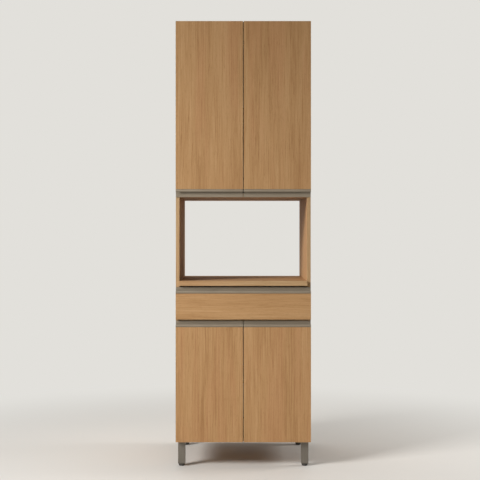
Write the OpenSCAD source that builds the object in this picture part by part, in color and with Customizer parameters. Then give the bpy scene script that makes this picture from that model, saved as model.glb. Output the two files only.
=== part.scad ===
// Tall oven housing unit: two doors over an open niche, one drawer and two doors below.
// Frame: X to the right, Y to the back, Z up. The origin is on the floor, under the middle.

/* [Cabinet] */
// Width over the side panels and over the doors
cabinet_width = 600; // [520:10:700]
// Depth from the face of the doors to the rear edge of the side panels
cabinet_depth = 580; // [560:10:660]
// Thickness of the carcass boards
board_t = 16; // [15:0.5:19]
// Thickness of the back panels
back_t = 3; // [2.5:0.5:5]
// Depth of the grooves that hold the back panels
groove_d = 8; // [5:0.5:9]
// Thickness of the edge bands
band_t = 1; // [0.5:0.5:2]

/* [Fronts] */
// Height of the lower doors with their handle profile
lower_door_h = 538; // [460:1:700]
// Height of the drawer front with its handle profile
drawer_front_h = 143; // [136:1:220]
// Height of the upper doors with their handle profile
upper_door_h = 780; // [640:1:1000]
// Thickness of the doors and of the drawer front
front_t = 18; // [16:1:22]
// Gap between two fronts, one above the other
front_reveal = 6; // [2:0.5:8]
// Gap between two doors, side by side
door_gap = 3; // [2:0.5:5]
// Gap between the back of a closed front and the carcass
front_gap = 2; // [1.5:0.25:3]

/* [Handle profiles] */
// Height of the profile on the lower doors and on the drawer
base_profile_h = 28; // [22:1:36]
// Height of the front lip of that profile
base_lip_h = 12; // [8:1:16]
// Height of the profile under the upper doors
upper_profile_h = 35; // [30:1:50]
// Height of the front lip of that profile
upper_lip_h = 12; // [10:1:24]
// Wall thickness of the profiles
profile_t = 1.6; // [1.2:0.2:2.4]
// How far the middle of a lip stands out from its edges
lip_crown = 1.5; // [0.5:0.25:2]
// Thickness of the tongue pressed into the board
tongue_t = 1.8; // [1.2:0.2:3]
// Length of that tongue
tongue_l = 8; // [5:0.5:12]

/* [Niche] */
// Clear height of the oven niche
niche_h = 372; // [300:1:620]
// Thickness of the niche floor, which comes forward to the face of the doors
niche_floor_t = 22; // [18:1:30]

/* [Cupboards] */
// Height of the lower shelf above the bottom panel
lower_shelf_up = 240; // [190:1:270]
// Height of the upper shelf above the niche ceiling panel
upper_shelf_up = 368; // [240:1:440]
// Distance from the front of the carcass to the shelves
shelf_setback = 20; // [15:1:60]
// Side play of a shelf between the side panels
shelf_play = 0.7; // [0.4:0.1:1.5]
// Depth of the two rails under the drawer
divider_rail_d = 80; // [70:5:110]
// Height of the rail behind the top of the upper doors
top_rail_h = 70; // [50:1:80]
// Height of the wall-fixing rail
wall_rail_h = 100; // [80:5:140]
// Distance between the two holes for wall screws
wall_hole_spacing = 400; // [300:10:440]
// Radius of the holes for wall screws
wall_hole_r = 3.5; // [2.5:0.25:5]
// Distance between two holes of a shelf pin row
pin_pitch = 32; // [25:1:32]
// Radius of the shelf pins
pin_r = 2.5; // [2:0.25:3]
// Depth of the shelf pins in the side panels
pin_depth = 9; // [7:0.5:11]

/* [Legs] */
// Height of the underside of the carcass above the floor
base_h = 111; // [100:1:160]
// Side of the square leg tubes
leg_w = 32; // [28:1:36]
// Wall thickness of the leg tubes
leg_wall = 1.5; // [1.2:0.1:2.5]
// Thickness of the leg plates
leg_plate_t = 3; // [2.5:0.5:5]
// Width of the leg plates outside the tubes
leg_plate_rim = 8; // [8:0.5:9]
// Distance from the sides of the cabinet to the leg tubes
leg_side_inset = 9.5; // [9:0.5:30]
// Distance from the front of the carcass to the front legs
leg_front_inset = 8; // [8:1:60]
// Distance from the rear edge of the carcass to the rear legs
leg_rear_inset = 40; // [10:1:100]
// Height of the foot pads
pad_h = 11; // [8:1:16]
// Radius of the foot pads
pad_r = 13.5; // [10:0.5:14]
// Radius of the threaded stems
stem_r = 5; // [4:0.5:6]
// Length of the threaded stems
stem_l = 55; // [40:1:70]
// Height of the plastic inserts in the legs
insert_h = 18; // [12:1:25]

/* [Hinges] */
// Distance from the ends of a door board to the middle of its hinges
hinge_end = 110; // [90:5:115]
// Distance from the edge of a door to the middle of the hinge cups
cup_edge = 21.5; // [21:0.5:24]
// Radius of the bores for the hinge cups
cup_r = 17.5; // [15:0.5:17.5]
// Depth of the hinge cups
cup_d = 11.5; // [10:0.5:12.5]
// Sheet thickness of the hinges
hinge_sheet = 1.2; // [1:0.1:1.3]
// Distance between the two screws of a cup
cup_screw_spacing = 48; // [45:1:52]
// Distance from the front of the carcass to the screws of a hinge plate
plate_setback = 37; // [35:1:45]
// Distance between the two screws of a hinge plate
plate_screw_spacing = 32; // [28:1:40]

/* [Drawer] */
// Length of the drawer runners
runner_len = 500; // [400:10:510]
// Height of the drawer runners
runner_h = 45; // [40:1:50]
// Thickness of a runner with its three members
runner_w = 12.7; // [12.7:0.1:13.5]
// Sheet thickness of the runner members
runner_sheet = 1.2; // [1:0.1:1.4]
// Gap between two runner members
runner_gap = 0.5; // [0.3:0.1:0.7]
// Distance from the front of the carcass to the runners
runner_setback = 2; // [2:1:10]
// Height of the drawer box
drawer_box_h = 105; // [90:1:108]
// Distance from the lower edge of the drawer front to the drawer box
drawer_box_up = 15; // [12:1:20]
// Thickness of the boards of the drawer box
drawer_board_t = 12; // [12:0.5:16]
// Thickness of the drawer bottom
drawer_bottom_t = 3; // [3:0.5:5]
// Distance from the lower edge of the drawer box to its bottom
drawer_bottom_up = 10; // [8:1:14]
// Depth of the grooves for the drawer bottom
drawer_groove_d = 6; // [4:0.5:7]

/* [Fittings] */
// Radius of the shank of the screws
screw_r = 1.75; // [1.5:0.25:2]
// Radius of the head of the screws
screw_head_r = 3.4; // [3:0.1:3.6]
// Length of the short screws for hinges, runners and legs
short_screw_l = 13; // [12:0.5:14]
// Length of the screws that hold the drawer front
front_screw_l = 25; // [22:1:27]
// Length of the screws in the corners of the drawer box
corner_screw_l = 35; // [25:1:45]
// Radius of the wood dowels
dowel_r = 4; // [3:0.5:4]
// Length of the wood dowels
dowel_l = 32; // [28:1:40]
// Depth of the wood dowels in the side panels
dowel_depth = 11; // [8:0.5:12]
// Radius of the cam discs
cam_r = 7.5; // [6:0.5:7.5]
// Height of the cam discs
cam_h = 12; // [11:0.5:13]
// Distance from the end of a board to the middle of the cam discs
cam_from_end = 24; // [20:1:34]
// Radius of the cam bolts
bolt_r = 3; // [2.5:0.25:3.5]
// Height of dowels and cam bolts above the underside of their board
joint_up = 8; // [7:0.5:9]
// Distance from the leg plates to the cam discs of a wide board
joint_inset = 20; // [12:1:60]
// Distance between a cam bolt and the dowel beside it
joint_pitch = 32; // [25:1:40]
// Radius of the soft door bumpers
bumper_r = 4; // [3:0.5:6]

/* [Hidden] */
$fn = 48;
// Clearance around a fitting in its bore or groove
fit = 0.1;
// Radial clearance of the foot stems in their inserts
thread_play = 0.08;
// Gap between parts that lie close to each other but don't touch
rest_gap = 0.3;
// Extra length of a cut past the face that it opens
past = 1;
// Flat strips that make up the crowned face of a lip
lip_strips = 10;

// Planes from front to back
front_y = -cabinet_depth / 2;
door_back_y = front_y + front_t;
carcass_y = door_back_y + front_gap;
rear_y = cabinet_depth / 2;
board_y = carcass_y + band_t;
back_panel_y = rear_y - board_t - rest_gap - back_t;

// Planes from side to side, for the right half
half_w = cabinet_width / 2;
side_x = half_w - board_t;
door_x = door_gap / 2;
cup_x = half_w - cup_edge;

// Levels from bottom to top
lower_door_z = base_h;
lower_door_top = lower_door_z + lower_door_h;
drawer_z = lower_door_top + front_reveal;
drawer_top = drawer_z + drawer_front_h;
niche_floor_z = drawer_top + front_reveal;
niche_z = niche_floor_z + niche_floor_t;
niche_top = niche_z + niche_h;
upper_door_z = niche_top;
top_z = upper_door_z + upper_door_h;
divider_z = lower_door_top + front_reveal / 2 - board_t / 2;
lower_shelf_z = base_h + board_t + lower_shelf_up;
upper_shelf_z = niche_top + board_t + upper_shelf_up;

// Doors: level of the lower edge of the wood, its height, and 1 where the profile is on top
LOWER_DOOR = [lower_door_z, lower_door_h - base_profile_h, 1];
UPPER_DOOR = [upper_door_z + upper_profile_h, upper_door_h - upper_profile_h, -1];
DRAWER_FRONT = [drawer_z, drawer_front_h - base_profile_h, 1];
function wood_z(front) = front[0];
function wood_h(front) = front[1];
function grip_side(front) = front[2];
function grip_z(front) = grip_side(front) > 0 ? wood_z(front) + wood_h(front) : wood_z(front);
function hinge_levels(front) = [wood_z(front) + hinge_end, wood_z(front) + wood_h(front) - hinge_end];
all_hinge_levels = concat(hinge_levels(LOWER_DOOR), hinge_levels(UPPER_DOOR));

// Hinges. Each door turns about an upright axis in the middle of its thickness, 5.5 from its edge
hinge_plate_y = carcass_y + plate_setback;
plate_wing_t = 2;
plate_wing_w = 12;
plate_wing_rim = 6;
plate_body_t = 8;
plate_body_w = 16;
plate_body_front = 24;
plate_body_rear = 20;
arm_h = 18;
arm_w = plate_body_w + 2 * rest_gap + 2 * hinge_sheet;
arm_front_y = carcass_y + 7;
arm_rear_y = hinge_plate_y + plate_body_rear;
arm_out_x = side_x - plate_wing_t - rest_gap;
tongue_reach = 4;
tongue_w = 14;
tongue_slot_w = 5;
tongue_out_x = side_x - 2;
tongue_in_x = side_x - arm_h + 3;
clamp_y = hinge_plate_y + 12;
clamp_r = 2;
clamp_head_r = 4;
clamp_head_h = 2;
cup_rim_r = cup_r + 0.5;
cup_wing_in = 13;
cup_wing_out = 5;
cup_wing_rim = 7;
cup_screw_in = 6;

// Legs
leg_x = half_w - leg_side_inset - leg_w / 2;
leg_front_y = carcass_y + leg_front_inset + leg_w / 2;
leg_rear_y = rear_y - leg_rear_inset - leg_w / 2;
leg_plate_w = leg_w + 2 * leg_plate_rim;
leg_screw_out = leg_w / 2 + leg_plate_rim / 2;
pad_chamfer = 2.5;

// Joints of the boards: level of the underside, places of the cams and of the dowels
front_rail_y = carcass_y + divider_rail_d / 2;
rear_rail_y = back_panel_y - rest_gap - divider_rail_d / 2;
wide_cams = [leg_front_y + leg_plate_w / 2 + joint_inset, leg_rear_y - leg_plate_w / 2 - joint_inset];
wide_dowels = [wide_cams[0] + joint_pitch, wide_cams[1] - joint_pitch];
rail_cams = [front_rail_y - joint_pitch / 2, rear_rail_y - joint_pitch / 2];
rail_dowels = [front_rail_y + joint_pitch / 2, rear_rail_y + joint_pitch / 2];
JOINTS = [
    [base_h, wide_cams, wide_dowels],
    [divider_z, rail_cams, rail_dowels],
    [niche_floor_z, wide_cams, wide_dowels],
    [niche_top, wide_cams, wide_dowels],
    [top_z - board_t, wide_cams, wide_dowels]
];
bolt_depth = 10;
// Dowels in the ends of the two upright rails: place along Y and level
upright_rail_dowels = concat(
    [for (k = [-1, 1]) [carcass_y + board_t / 2, top_z - board_t - top_rail_h / 2 + k * top_rail_h / 4]],
    [for (k = [-1, 1]) [rear_y - board_t / 2, top_z - board_t - wall_rail_h / 2 + k * wall_rail_h / 4]]
);

// Shelf pins
pin_columns = [carcass_y + plate_setback, rear_y - 90];
pin_steps = 2;
pin_block = [8, 8, 6];

// Drawer and runners
box_z = drawer_z + drawer_box_up;
box_x = side_x - runner_w;
runner_y = carcass_y + runner_setback;
member_step = runner_sheet + runner_gap;
box_rear_y = runner_y + runner_len;
runner_z = box_z + drawer_box_h / 2;
runner_screw_ys = [for (k = [0.12, 0.5, 0.88]) runner_y + k * runner_len];
drawer_screw_ys = [for (k = [0.2, 0.8]) runner_y + k * runner_len];
front_screw_x = half_w * 0.6;
front_screw_levels = [box_z + drawer_box_h * 0.3, box_z + drawer_box_h * 0.75];
corner_screw_levels = [box_z + drawer_box_h * 0.25, box_z + drawer_box_h * 0.92];

OAK = [0.68, 0.53, 0.37];
OAK_EDGE = [0.62, 0.47, 0.32];
WHITE_BOARD = [0.86, 0.84, 0.80];
ALUMINIUM = [0.54, 0.51, 0.46];
STEEL = [0.46, 0.43, 0.39];
ZINC = [0.72, 0.72, 0.72];
NICKEL = [0.78, 0.77, 0.74];
BEECH = [0.80, 0.68, 0.50];
BLACK = [0.16, 0.15, 0.13];
CLEAR_GREY = [0.80, 0.80, 0.80];

// ---------- Helpers ----------

// A block between two opposite corners
module block(low, high) {
    translate(low) cube(high - low);
}

module on_left() {
    mirror([1, 0, 0]) children();
}

module both_sides() {
    children();
    on_left() children();
}

// A screw with a countersunk head at the origin that points down
module screw(length, clear = 0) {
    head_h = screw_head_r - screw_r;
    translate([0, 0, -length - clear]) cylinder(r = screw_r + clear, h = length + clear);
    translate([0, 0, -head_h]) cylinder(r1 = screw_r + clear, r2 = screw_head_r + clear, h = head_h);
}

// The bore for such a screw, open above its head
module screw_bore(length) {
    screw(length, fit);
    cylinder(r = screw_head_r + fit, h = past);
}

// A cylinder along X between two places
module rod_x(x0, x1, y, z, r) {
    translate([x0, y, z]) rotate([0, 90, 0]) cylinder(r = r, h = x1 - x0);
}

// ---------- Joints of the boards, on the right side ----------

module dowel_at(y, z, clear = 0) {
    rod_x(side_x - (dowel_l - dowel_depth) - clear, side_x + dowel_depth + clear, y, z, dowel_r + clear);
}

module cam_bolt_at(y, z, clear = 0) {
    rod_x(side_x - cam_from_end - clear, side_x + bolt_depth + clear, y, z, bolt_r + clear);
}

module cam_disc_at(y, board_z) {
    difference() {
        translate([side_x - cam_from_end, y, board_z]) cylinder(r = cam_r - fit, h = cam_h);
        cam_bolt_at(y, board_z + joint_up, fit);
    }
}

// Every bore of one joint row, for the boards and for the side panels
module joint_bores(joint) {
    for (y = joint[1]) {
        cam_bolt_at(y, joint[0] + joint_up, fit);
        translate([side_x - cam_from_end, y, joint[0] - past]) cylinder(r = cam_r, h = cam_h + fit + past);
    }
    for (y = joint[2]) dowel_at(y, joint[0] + joint_up, fit);
}

// The same bores without the cam discs, which lie in the boards alone
module side_joint_bores(joint) {
    for (y = joint[1]) cam_bolt_at(y, joint[0] + joint_up, fit);
    for (y = joint[2]) dowel_at(y, joint[0] + joint_up, fit);
}

// ---------- Carcass ----------

// Space of a back panel, widened by a clearance for its grooves
module back_space(z0, z1, clear = 0) {
    reach = side_x + groove_d - (clear > 0 ? 0 : 2 * rest_gap);
    tall = groove_d - (clear > 0 ? 0 : 2 * rest_gap);
    block([-reach, back_panel_y - clear, z0 - tall], [reach, back_panel_y + back_t + clear, z1 + tall]);
}

module lower_back_space(clear = 0) {
    back_space(base_h + board_t, niche_floor_z, clear);
}

module upper_back_space(clear = 0) {
    back_space(niche_top + board_t, top_z - board_t, clear);
}

module wall_screw_bores() {
    for (k = [-1, 1])
        translate([k * wall_hole_spacing / 2, rear_y + past, top_z - board_t - wall_rail_h / 2])
            rotate([90, 0, 0]) cylinder(r = wall_hole_r, h = board_t + back_t + 2 * past);
}

module leg_screw_bores(y) {
    for (kx = [-1, 1], ky = [-1, 1])
        translate([leg_x + kx * leg_screw_out, y + ky * leg_screw_out, base_h - leg_plate_t])
            rotate([180, 0, 0]) screw_bore(short_screw_l);
}

module hinge_plate_bores(z) {
    for (k = [-1, 1])
        translate([side_x - plate_wing_t, hinge_plate_y, z + k * plate_screw_spacing / 2])
            rotate([0, -90, 0]) screw_bore(short_screw_l);
}

module runner_bores() {
    for (y = runner_screw_ys)
        translate([side_x - runner_sheet, y, runner_z]) rotate([0, -90, 0]) screw_bore(short_screw_l);
}

module pin_bores(shelf_z) {
    pin_z = shelf_z - pin_block[2] / 2;
    for (y = pin_columns, k = [-pin_steps:pin_steps])
        rod_x(side_x - past, side_x + pin_depth + fit, y, pin_z + k * pin_pitch, pin_r + fit);
}

module side_board() {
    difference() {
        block([side_x, board_y, base_h], [half_w, rear_y, top_z]);
        lower_back_space(fit);
        upper_back_space(fit);
        for (joint = JOINTS) side_joint_bores(joint);
        for (place = upright_rail_dowels) dowel_at(place[0], place[1], fit);
        for (z = all_hinge_levels) hinge_plate_bores(z);
        pin_bores(lower_shelf_z);
        pin_bores(upper_shelf_z);
        runner_bores();
        leg_screw_bores(leg_front_y);
        leg_screw_bores(leg_rear_y);
    }
}

module side_panel_right() {
    color(OAK) side_board();
}

module side_panel_left() {
    color(OAK) on_left() side_board();
}

// A board between the side panels, bored at both ends for its joint row
module cross_board(joint, thickness, y0, y1) {
    difference() {
        block([-side_x, y0, joint[0]], [side_x, y1, joint[0] + thickness]);
        both_sides() joint_bores(joint);
    }
}

module bottom_panel() {
    color(OAK) difference() {
        cross_board(JOINTS[0], board_t, board_y, rear_y);
        lower_back_space(fit);
        both_sides() {
            leg_screw_bores(leg_front_y);
            leg_screw_bores(leg_rear_y);
        }
    }
}

module divider_rail_front() {
    color(OAK) cross_board(JOINTS[1], board_t, board_y, carcass_y + divider_rail_d);
}

module divider_rail_rear() {
    y0 = rear_rail_y - divider_rail_d / 2;
    color(OAK) cross_board(JOINTS[1], board_t, y0, y0 + divider_rail_d);
}

module niche_floor_panel() {
    color(OAK) difference() {
        cross_board(JOINTS[2], niche_floor_t, front_y + band_t, rear_y);
        lower_back_space(fit);
    }
}

module niche_ceiling_panel() {
    color(OAK) difference() {
        cross_board(JOINTS[3], board_t, board_y, rear_y);
        upper_back_space(fit);
    }
}

module top_panel() {
    color(OAK) difference() {
        cross_board(JOINTS[4], board_t, board_y, rear_y);
        upper_back_space(fit);
    }
}

module top_front_rail() {
    color(OAK) difference() {
        block(
            [-side_x, carcass_y, top_z - board_t - top_rail_h],
            [side_x, carcass_y + board_t, top_z - board_t]
        );
        both_sides() for (place = upright_rail_dowels) dowel_at(place[0], place[1], fit);
    }
}

module wall_fixing_rail() {
    color(OAK) difference() {
        block([-side_x, rear_y - board_t, top_z - board_t - wall_rail_h], [side_x, rear_y, top_z - board_t]);
        both_sides() for (place = upright_rail_dowels) dowel_at(place[0], place[1], fit);
        wall_screw_bores();
    }
}

module shelf(z) {
    reach = side_x - shelf_play;
    block([-reach, carcass_y + shelf_setback + band_t, z], [reach, back_panel_y - past, z + board_t]);
}

module lower_shelf() {
    color(OAK) shelf(lower_shelf_z);
}

module upper_shelf() {
    color(OAK) shelf(upper_shelf_z);
}

module back_panel_lower() {
    color(WHITE_BOARD) lower_back_space();
}

module back_panel_upper() {
    color(WHITE_BOARD) difference() {
        upper_back_space();
        wall_screw_bores();
    }
}

// Front band of a board between the side panels
module front_band(y, z, thickness, reach = side_x) {
    block([-reach, y, z], [reach, y + band_t, z + thickness]);
}

module carcass_edge_bands() {
    color(OAK_EDGE) {
        both_sides() block([side_x, carcass_y, base_h], [half_w, board_y, top_z]);
        front_band(carcass_y, base_h, board_t);
        front_band(carcass_y, divider_z, board_t);
        front_band(front_y, niche_floor_z, niche_floor_t);
        front_band(carcass_y, niche_top, board_t);
        front_band(carcass_y, top_z - board_t, board_t);
        front_band(carcass_y + shelf_setback, lower_shelf_z, board_t, side_x - shelf_play);
        front_band(carcass_y + shelf_setback, upper_shelf_z, board_t, side_x - shelf_play);
    }
}

// ---------- Fittings ----------

module pins_of(shelf_z) {
    for (y = pin_columns) {
        rod_x(side_x - past, side_x + pin_depth, y, shelf_z - pin_block[2] / 2, pin_r);
        block(
            [side_x - pin_block[0], y - pin_block[1] / 2, shelf_z - pin_block[2]],
            [side_x, y + pin_block[1] / 2, shelf_z]
        );
    }
}

module shelf_pins() {
    color(NICKEL) both_sides() {
        pins_of(lower_shelf_z);
        pins_of(upper_shelf_z);
    }
}

module cam_discs() {
    color(ZINC) both_sides() for (joint = JOINTS, y = joint[1]) cam_disc_at(y, joint[0]);
}

module cam_bolts() {
    color(ZINC) both_sides() for (joint = JOINTS, y = joint[1]) cam_bolt_at(y, joint[0] + joint_up);
}

module wood_dowels() {
    color(BEECH) both_sides() {
        for (joint = JOINTS, y = joint[2]) dowel_at(y, joint[0] + joint_up);
        for (place = upright_rail_dowels) dowel_at(place[0], place[1]);
    }
}

module bumper(x, z) {
    translate([x, carcass_y, z]) rotate([90, 0, 0]) cylinder(r = bumper_r, h = front_gap - rest_gap);
}

module door_bumpers() {
    color(CLEAR_GREY) both_sides() {
        bumper(door_x + 4 * bumper_r, base_h + board_t / 2);
        bumper(door_x + 4 * bumper_r, niche_top + board_t / 2);
        bumper(door_x + 4 * bumper_r, top_z - board_t / 2);
        bumper(half_w - board_t / 2, drawer_z + drawer_box_up);
    }
}

// ---------- Legs and feet ----------

module at_each_leg() {
    both_sides() for (y = [leg_front_y, leg_rear_y]) translate([leg_x, y, 0]) children();
}

module leg_tubes() {
    inner = leg_w - 2 * leg_wall;
    color(STEEL) at_each_leg() difference() {
        block([-leg_w / 2, -leg_w / 2, pad_h], [leg_w / 2, leg_w / 2, base_h - leg_plate_t]);
        block([-inner / 2, -inner / 2, pad_h - past], [inner / 2, inner / 2, base_h - leg_plate_t + past]);
    }
}

module leg_plate(y) {
    difference() {
        translate([leg_x, y, base_h - leg_plate_t / 2])
            cube([leg_plate_w, leg_plate_w, leg_plate_t], center = true);
        leg_screw_bores(y);
    }
}

module leg_plates() {
    color(STEEL) both_sides() {
        leg_plate(leg_front_y);
        leg_plate(leg_rear_y);
    }
}

module leg_inserts() {
    side = leg_w - 2 * leg_wall - 2 * fit;
    color(BLACK) at_each_leg() difference() {
        block([-side / 2, -side / 2, pad_h], [side / 2, side / 2, pad_h + insert_h]);
        translate([0, 0, pad_h - past]) cylinder(r = stem_r + thread_play, h = insert_h + 2 * past);
    }
}

module leg_screws() {
    color(ZINC) at_each_leg() for (kx = [-1, 1], ky = [-1, 1])
        translate([kx * leg_screw_out, ky * leg_screw_out, base_h - leg_plate_t])
            rotate([180, 0, 0]) screw(short_screw_l);
}

module foot(y) {
    translate([leg_x, y, 0]) {
        cylinder(r1 = pad_r - pad_chamfer, r2 = pad_r, h = pad_chamfer);
        translate([0, 0, pad_chamfer]) cylinder(r = pad_r, h = pad_h - rest_gap - pad_chamfer);
        cylinder(r = stem_r, h = pad_h - rest_gap + stem_l);
    }
}

module foot_front_right() {
    color(BLACK) foot(leg_front_y);
}

module foot_front_left() {
    color(BLACK) on_left() foot(leg_front_y);
}

module foot_rear_right() {
    color(BLACK) foot(leg_rear_y);
}

module foot_rear_left() {
    color(BLACK) on_left() foot(leg_rear_y);
}

// ---------- Hinges, on the right side ----------

module hinge_plate(z) {
    wing_h = plate_screw_spacing / 2 + plate_wing_rim;
    difference() {
        union() {
            block(
                [side_x - plate_wing_t, hinge_plate_y - plate_wing_w / 2, z - wing_h],
                [side_x, hinge_plate_y + plate_wing_w / 2, z + wing_h]
            );
            block(
                [side_x - plate_body_t, hinge_plate_y - plate_body_front, z - plate_body_w / 2],
                [side_x, hinge_plate_y + plate_body_rear, z + plate_body_w / 2]
            );
        }
        hinge_plate_bores(z);
        rod_x(side_x - plate_body_t - past, side_x - plate_wing_t, clamp_y, z, clamp_r + fit);
    }
}

module hinge_arm(z) {
    top_x = side_x - arm_h;
    difference() {
        union() {
            block([top_x, arm_front_y, z - arm_w / 2], [arm_out_x, arm_rear_y, z + arm_w / 2]);
            block(
                [tongue_in_x, door_back_y - tongue_reach, z - tongue_w / 2],
                [tongue_out_x, arm_front_y + hinge_sheet, z + tongue_w / 2]
            );
        }
        block(
            [top_x + hinge_sheet, arm_front_y + hinge_sheet, z - arm_w / 2 + hinge_sheet],
            [side_x, arm_rear_y + past, z + arm_w / 2 - hinge_sheet]
        );
        block(
            [tongue_in_x - past, door_back_y - tongue_reach - past, z - tongue_slot_w / 2],
            [side_x, arm_front_y - hinge_sheet, z + tongue_slot_w / 2]
        );
        rod_x(top_x - past, top_x + hinge_sheet + past, clamp_y, z, clamp_r + fit);
    }
    rod_x(top_x - clamp_head_h, top_x, clamp_y, z, clamp_head_r);
    rod_x(top_x - clamp_head_h, side_x - plate_wing_t - fit, clamp_y, z, clamp_r);
}

module hinge_plates() {
    color(NICKEL) both_sides() for (z = all_hinge_levels) hinge_plate(z);
}

module hinge_arms() {
    color(NICKEL) both_sides() for (z = all_hinge_levels) hinge_arm(z);
}

module hinge_plate_screws() {
    color(ZINC) both_sides() for (z = all_hinge_levels, k = [-1, 1])
        translate([side_x - plate_wing_t, hinge_plate_y, z + k * plate_screw_spacing / 2])
            rotate([0, -90, 0]) screw(short_screw_l);
}

module at_cup_screws(z) {
    for (k = [-1, 1])
        translate([cup_x - cup_screw_in, door_back_y + hinge_sheet, z + k * cup_screw_spacing / 2])
            rotate([-90, 0, 0]) children();
}

module cup_cylinder(z, r, y0, depth) {
    translate([cup_x, y0, z]) rotate([90, 0, 0]) cylinder(r = r, h = depth);
}

module hinge_cup(z) {
    wing_h = cup_screw_spacing / 2 + cup_wing_rim;
    difference() {
        union() {
            cup_cylinder(z, cup_r - fit, door_back_y, cup_d);
            cup_cylinder(z, cup_rim_r, door_back_y + hinge_sheet, hinge_sheet);
            block(
                [cup_x - cup_wing_in, door_back_y, z - wing_h],
                [cup_x + cup_wing_out, door_back_y + hinge_sheet, z + wing_h]
            );
        }
        cup_cylinder(z, cup_r - hinge_sheet, door_back_y + 2 * hinge_sheet, cup_d + hinge_sheet);
        at_cup_screws(z) screw_bore(short_screw_l);
    }
}

// ---------- Fronts, the doors on the right side ----------

// How far the face of a lip is set back at a height above the edge of the board
function lip_set_back(lip, h) =
    let (r = (lip * lip / 4 + lip_crown * lip_crown) / (2 * lip_crown))
    r - sqrt(r * r - (h - lip / 2) * (h - lip / 2));

// Section of a handle profile: depth from the face, height from the edge of the board
module grip_section(height, lip, side) {
    middle = front_t / 2;
    face = [for (k = [0:lip_strips]) lip * k / lip_strips];
    inside = [for (k = [lip_strips:-1:0]) profile_t + (lip - profile_t) * k / lip_strips];
    outline = concat(
        [for (h = face) [lip_set_back(lip, h), h]],
        [for (h = inside) [lip_set_back(lip, h) + profile_t, h]],
        [
            [front_t - profile_t, profile_t],
            [front_t - profile_t, height],
            [front_t, height],
            [front_t, 0],
            [middle + tongue_t / 2, 0],
            [middle + tongue_t / 2, -tongue_l],
            [middle - tongue_t / 2, -tongue_l],
            [middle - tongue_t / 2, 0]
        ]
    );
    polygon([for (p = outline) [p[0], side * p[1]]]);
}

// A handle profile on the grip edge of a front, from x0 to x1
module handle_profile(front, x0, x1, height, lip) {
    translate([x0, front_y, grip_z(front)])
        rotate([90, 0, 90]) linear_extrude(x1 - x0) grip_section(height, lip, grip_side(front));
}

// Groove for the tongue of a handle profile
module tongue_groove(front, x0, x1) {
    y = front_y + front_t / 2;
    side = grip_side(front);
    z = grip_z(front);
    low = min(z - side * (tongue_l + rest_gap), z + side * past);
    high = max(z - side * (tongue_l + rest_gap), z + side * past);
    block([x0 - past, y - tongue_t / 2 - fit, low], [x1 + past, y + tongue_t / 2 + fit, high]);
}

// The wood of a front between its edge bands
module front_board(front, x0, x1) {
    lift = grip_side(front) > 0 ? band_t : 0;
    z0 = wood_z(front) + lift;
    difference() {
        block([x0 + band_t, front_y, z0], [x1 - band_t, door_back_y, z0 + wood_h(front) - band_t]);
        tongue_groove(front, x0, x1);
    }
}

// Bands on the two upright edges and on the edge away from the handle profile
module front_edging(front, x0, x1) {
    z0 = wood_z(front);
    z1 = z0 + wood_h(front);
    far_z = grip_side(front) > 0 ? z0 : z1 - band_t;
    difference() {
        union() {
            block([x0, front_y, z0], [x0 + band_t, door_back_y, z1]);
            block([x1 - band_t, front_y, z0], [x1, door_back_y, z1]);
        }
        tongue_groove(front, x0, x1);
    }
    block([x0 + band_t, front_y, far_z], [x1 - band_t, door_back_y, far_z + band_t]);
}

module door_board(door) {
    difference() {
        front_board(door, door_x, half_w);
        for (z = hinge_levels(door)) {
            cup_cylinder(z, cup_r, door_back_y + past, cup_d + fit + past);
            at_cup_screws(z) screw_bore(short_screw_l);
        }
    }
}

module door_handle(door, height, lip) {
    handle_profile(door, door_x, half_w, height, lip);
}

// Both cups of a door with their screws
module door_cups(door) {
    for (z = hinge_levels(door)) {
        color(NICKEL) hinge_cup(z);
        color(ZINC) at_cup_screws(z) screw(short_screw_l);
    }
}

module upper_right_door_board() {
    color(OAK) door_board(UPPER_DOOR);
}

module upper_left_door_board() {
    color(OAK) on_left() door_board(UPPER_DOOR);
}

module lower_right_door_board() {
    color(OAK) door_board(LOWER_DOOR);
}

module lower_left_door_board() {
    color(OAK) on_left() door_board(LOWER_DOOR);
}

module upper_right_door_edging() {
    color(OAK_EDGE) front_edging(UPPER_DOOR, door_x, half_w);
}

module upper_left_door_edging() {
    color(OAK_EDGE) on_left() front_edging(UPPER_DOOR, door_x, half_w);
}

module lower_right_door_edging() {
    color(OAK_EDGE) front_edging(LOWER_DOOR, door_x, half_w);
}

module lower_left_door_edging() {
    color(OAK_EDGE) on_left() front_edging(LOWER_DOOR, door_x, half_w);
}

module upper_right_door_handle() {
    color(ALUMINIUM) door_handle(UPPER_DOOR, upper_profile_h, upper_lip_h);
}

module upper_left_door_handle() {
    color(ALUMINIUM) on_left() door_handle(UPPER_DOOR, upper_profile_h, upper_lip_h);
}

module lower_right_door_handle() {
    color(ALUMINIUM) door_handle(LOWER_DOOR, base_profile_h, base_lip_h);
}

module lower_left_door_handle() {
    color(ALUMINIUM) on_left() door_handle(LOWER_DOOR, base_profile_h, base_lip_h);
}

module upper_right_door_cups() {
    door_cups(UPPER_DOOR);
}

module upper_left_door_cups() {
    on_left() door_cups(UPPER_DOOR);
}

module lower_right_door_cups() {
    door_cups(LOWER_DOOR);
}

module lower_left_door_cups() {
    on_left() door_cups(LOWER_DOOR);
}

// ---------- Drawer ----------

module at_front_screws() {
    for (kx = [-1, 1], z = front_screw_levels)
        translate([kx * front_screw_x, door_back_y + drawer_board_t, z]) rotate([-90, 0, 0]) children();
}

// Corner screws of the right side of the drawer box, which point to the left
module at_corner_screws() {
    for (y = [door_back_y + drawer_board_t / 2, box_rear_y - drawer_board_t / 2], z = corner_screw_levels)
        translate([box_x, y, z]) rotate([0, 90, 0]) children();
}

module at_drawer_member_screws() {
    for (y = drawer_screw_ys) translate([box_x + runner_sheet, y, runner_z]) rotate([0, 90, 0]) children();
}

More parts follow.
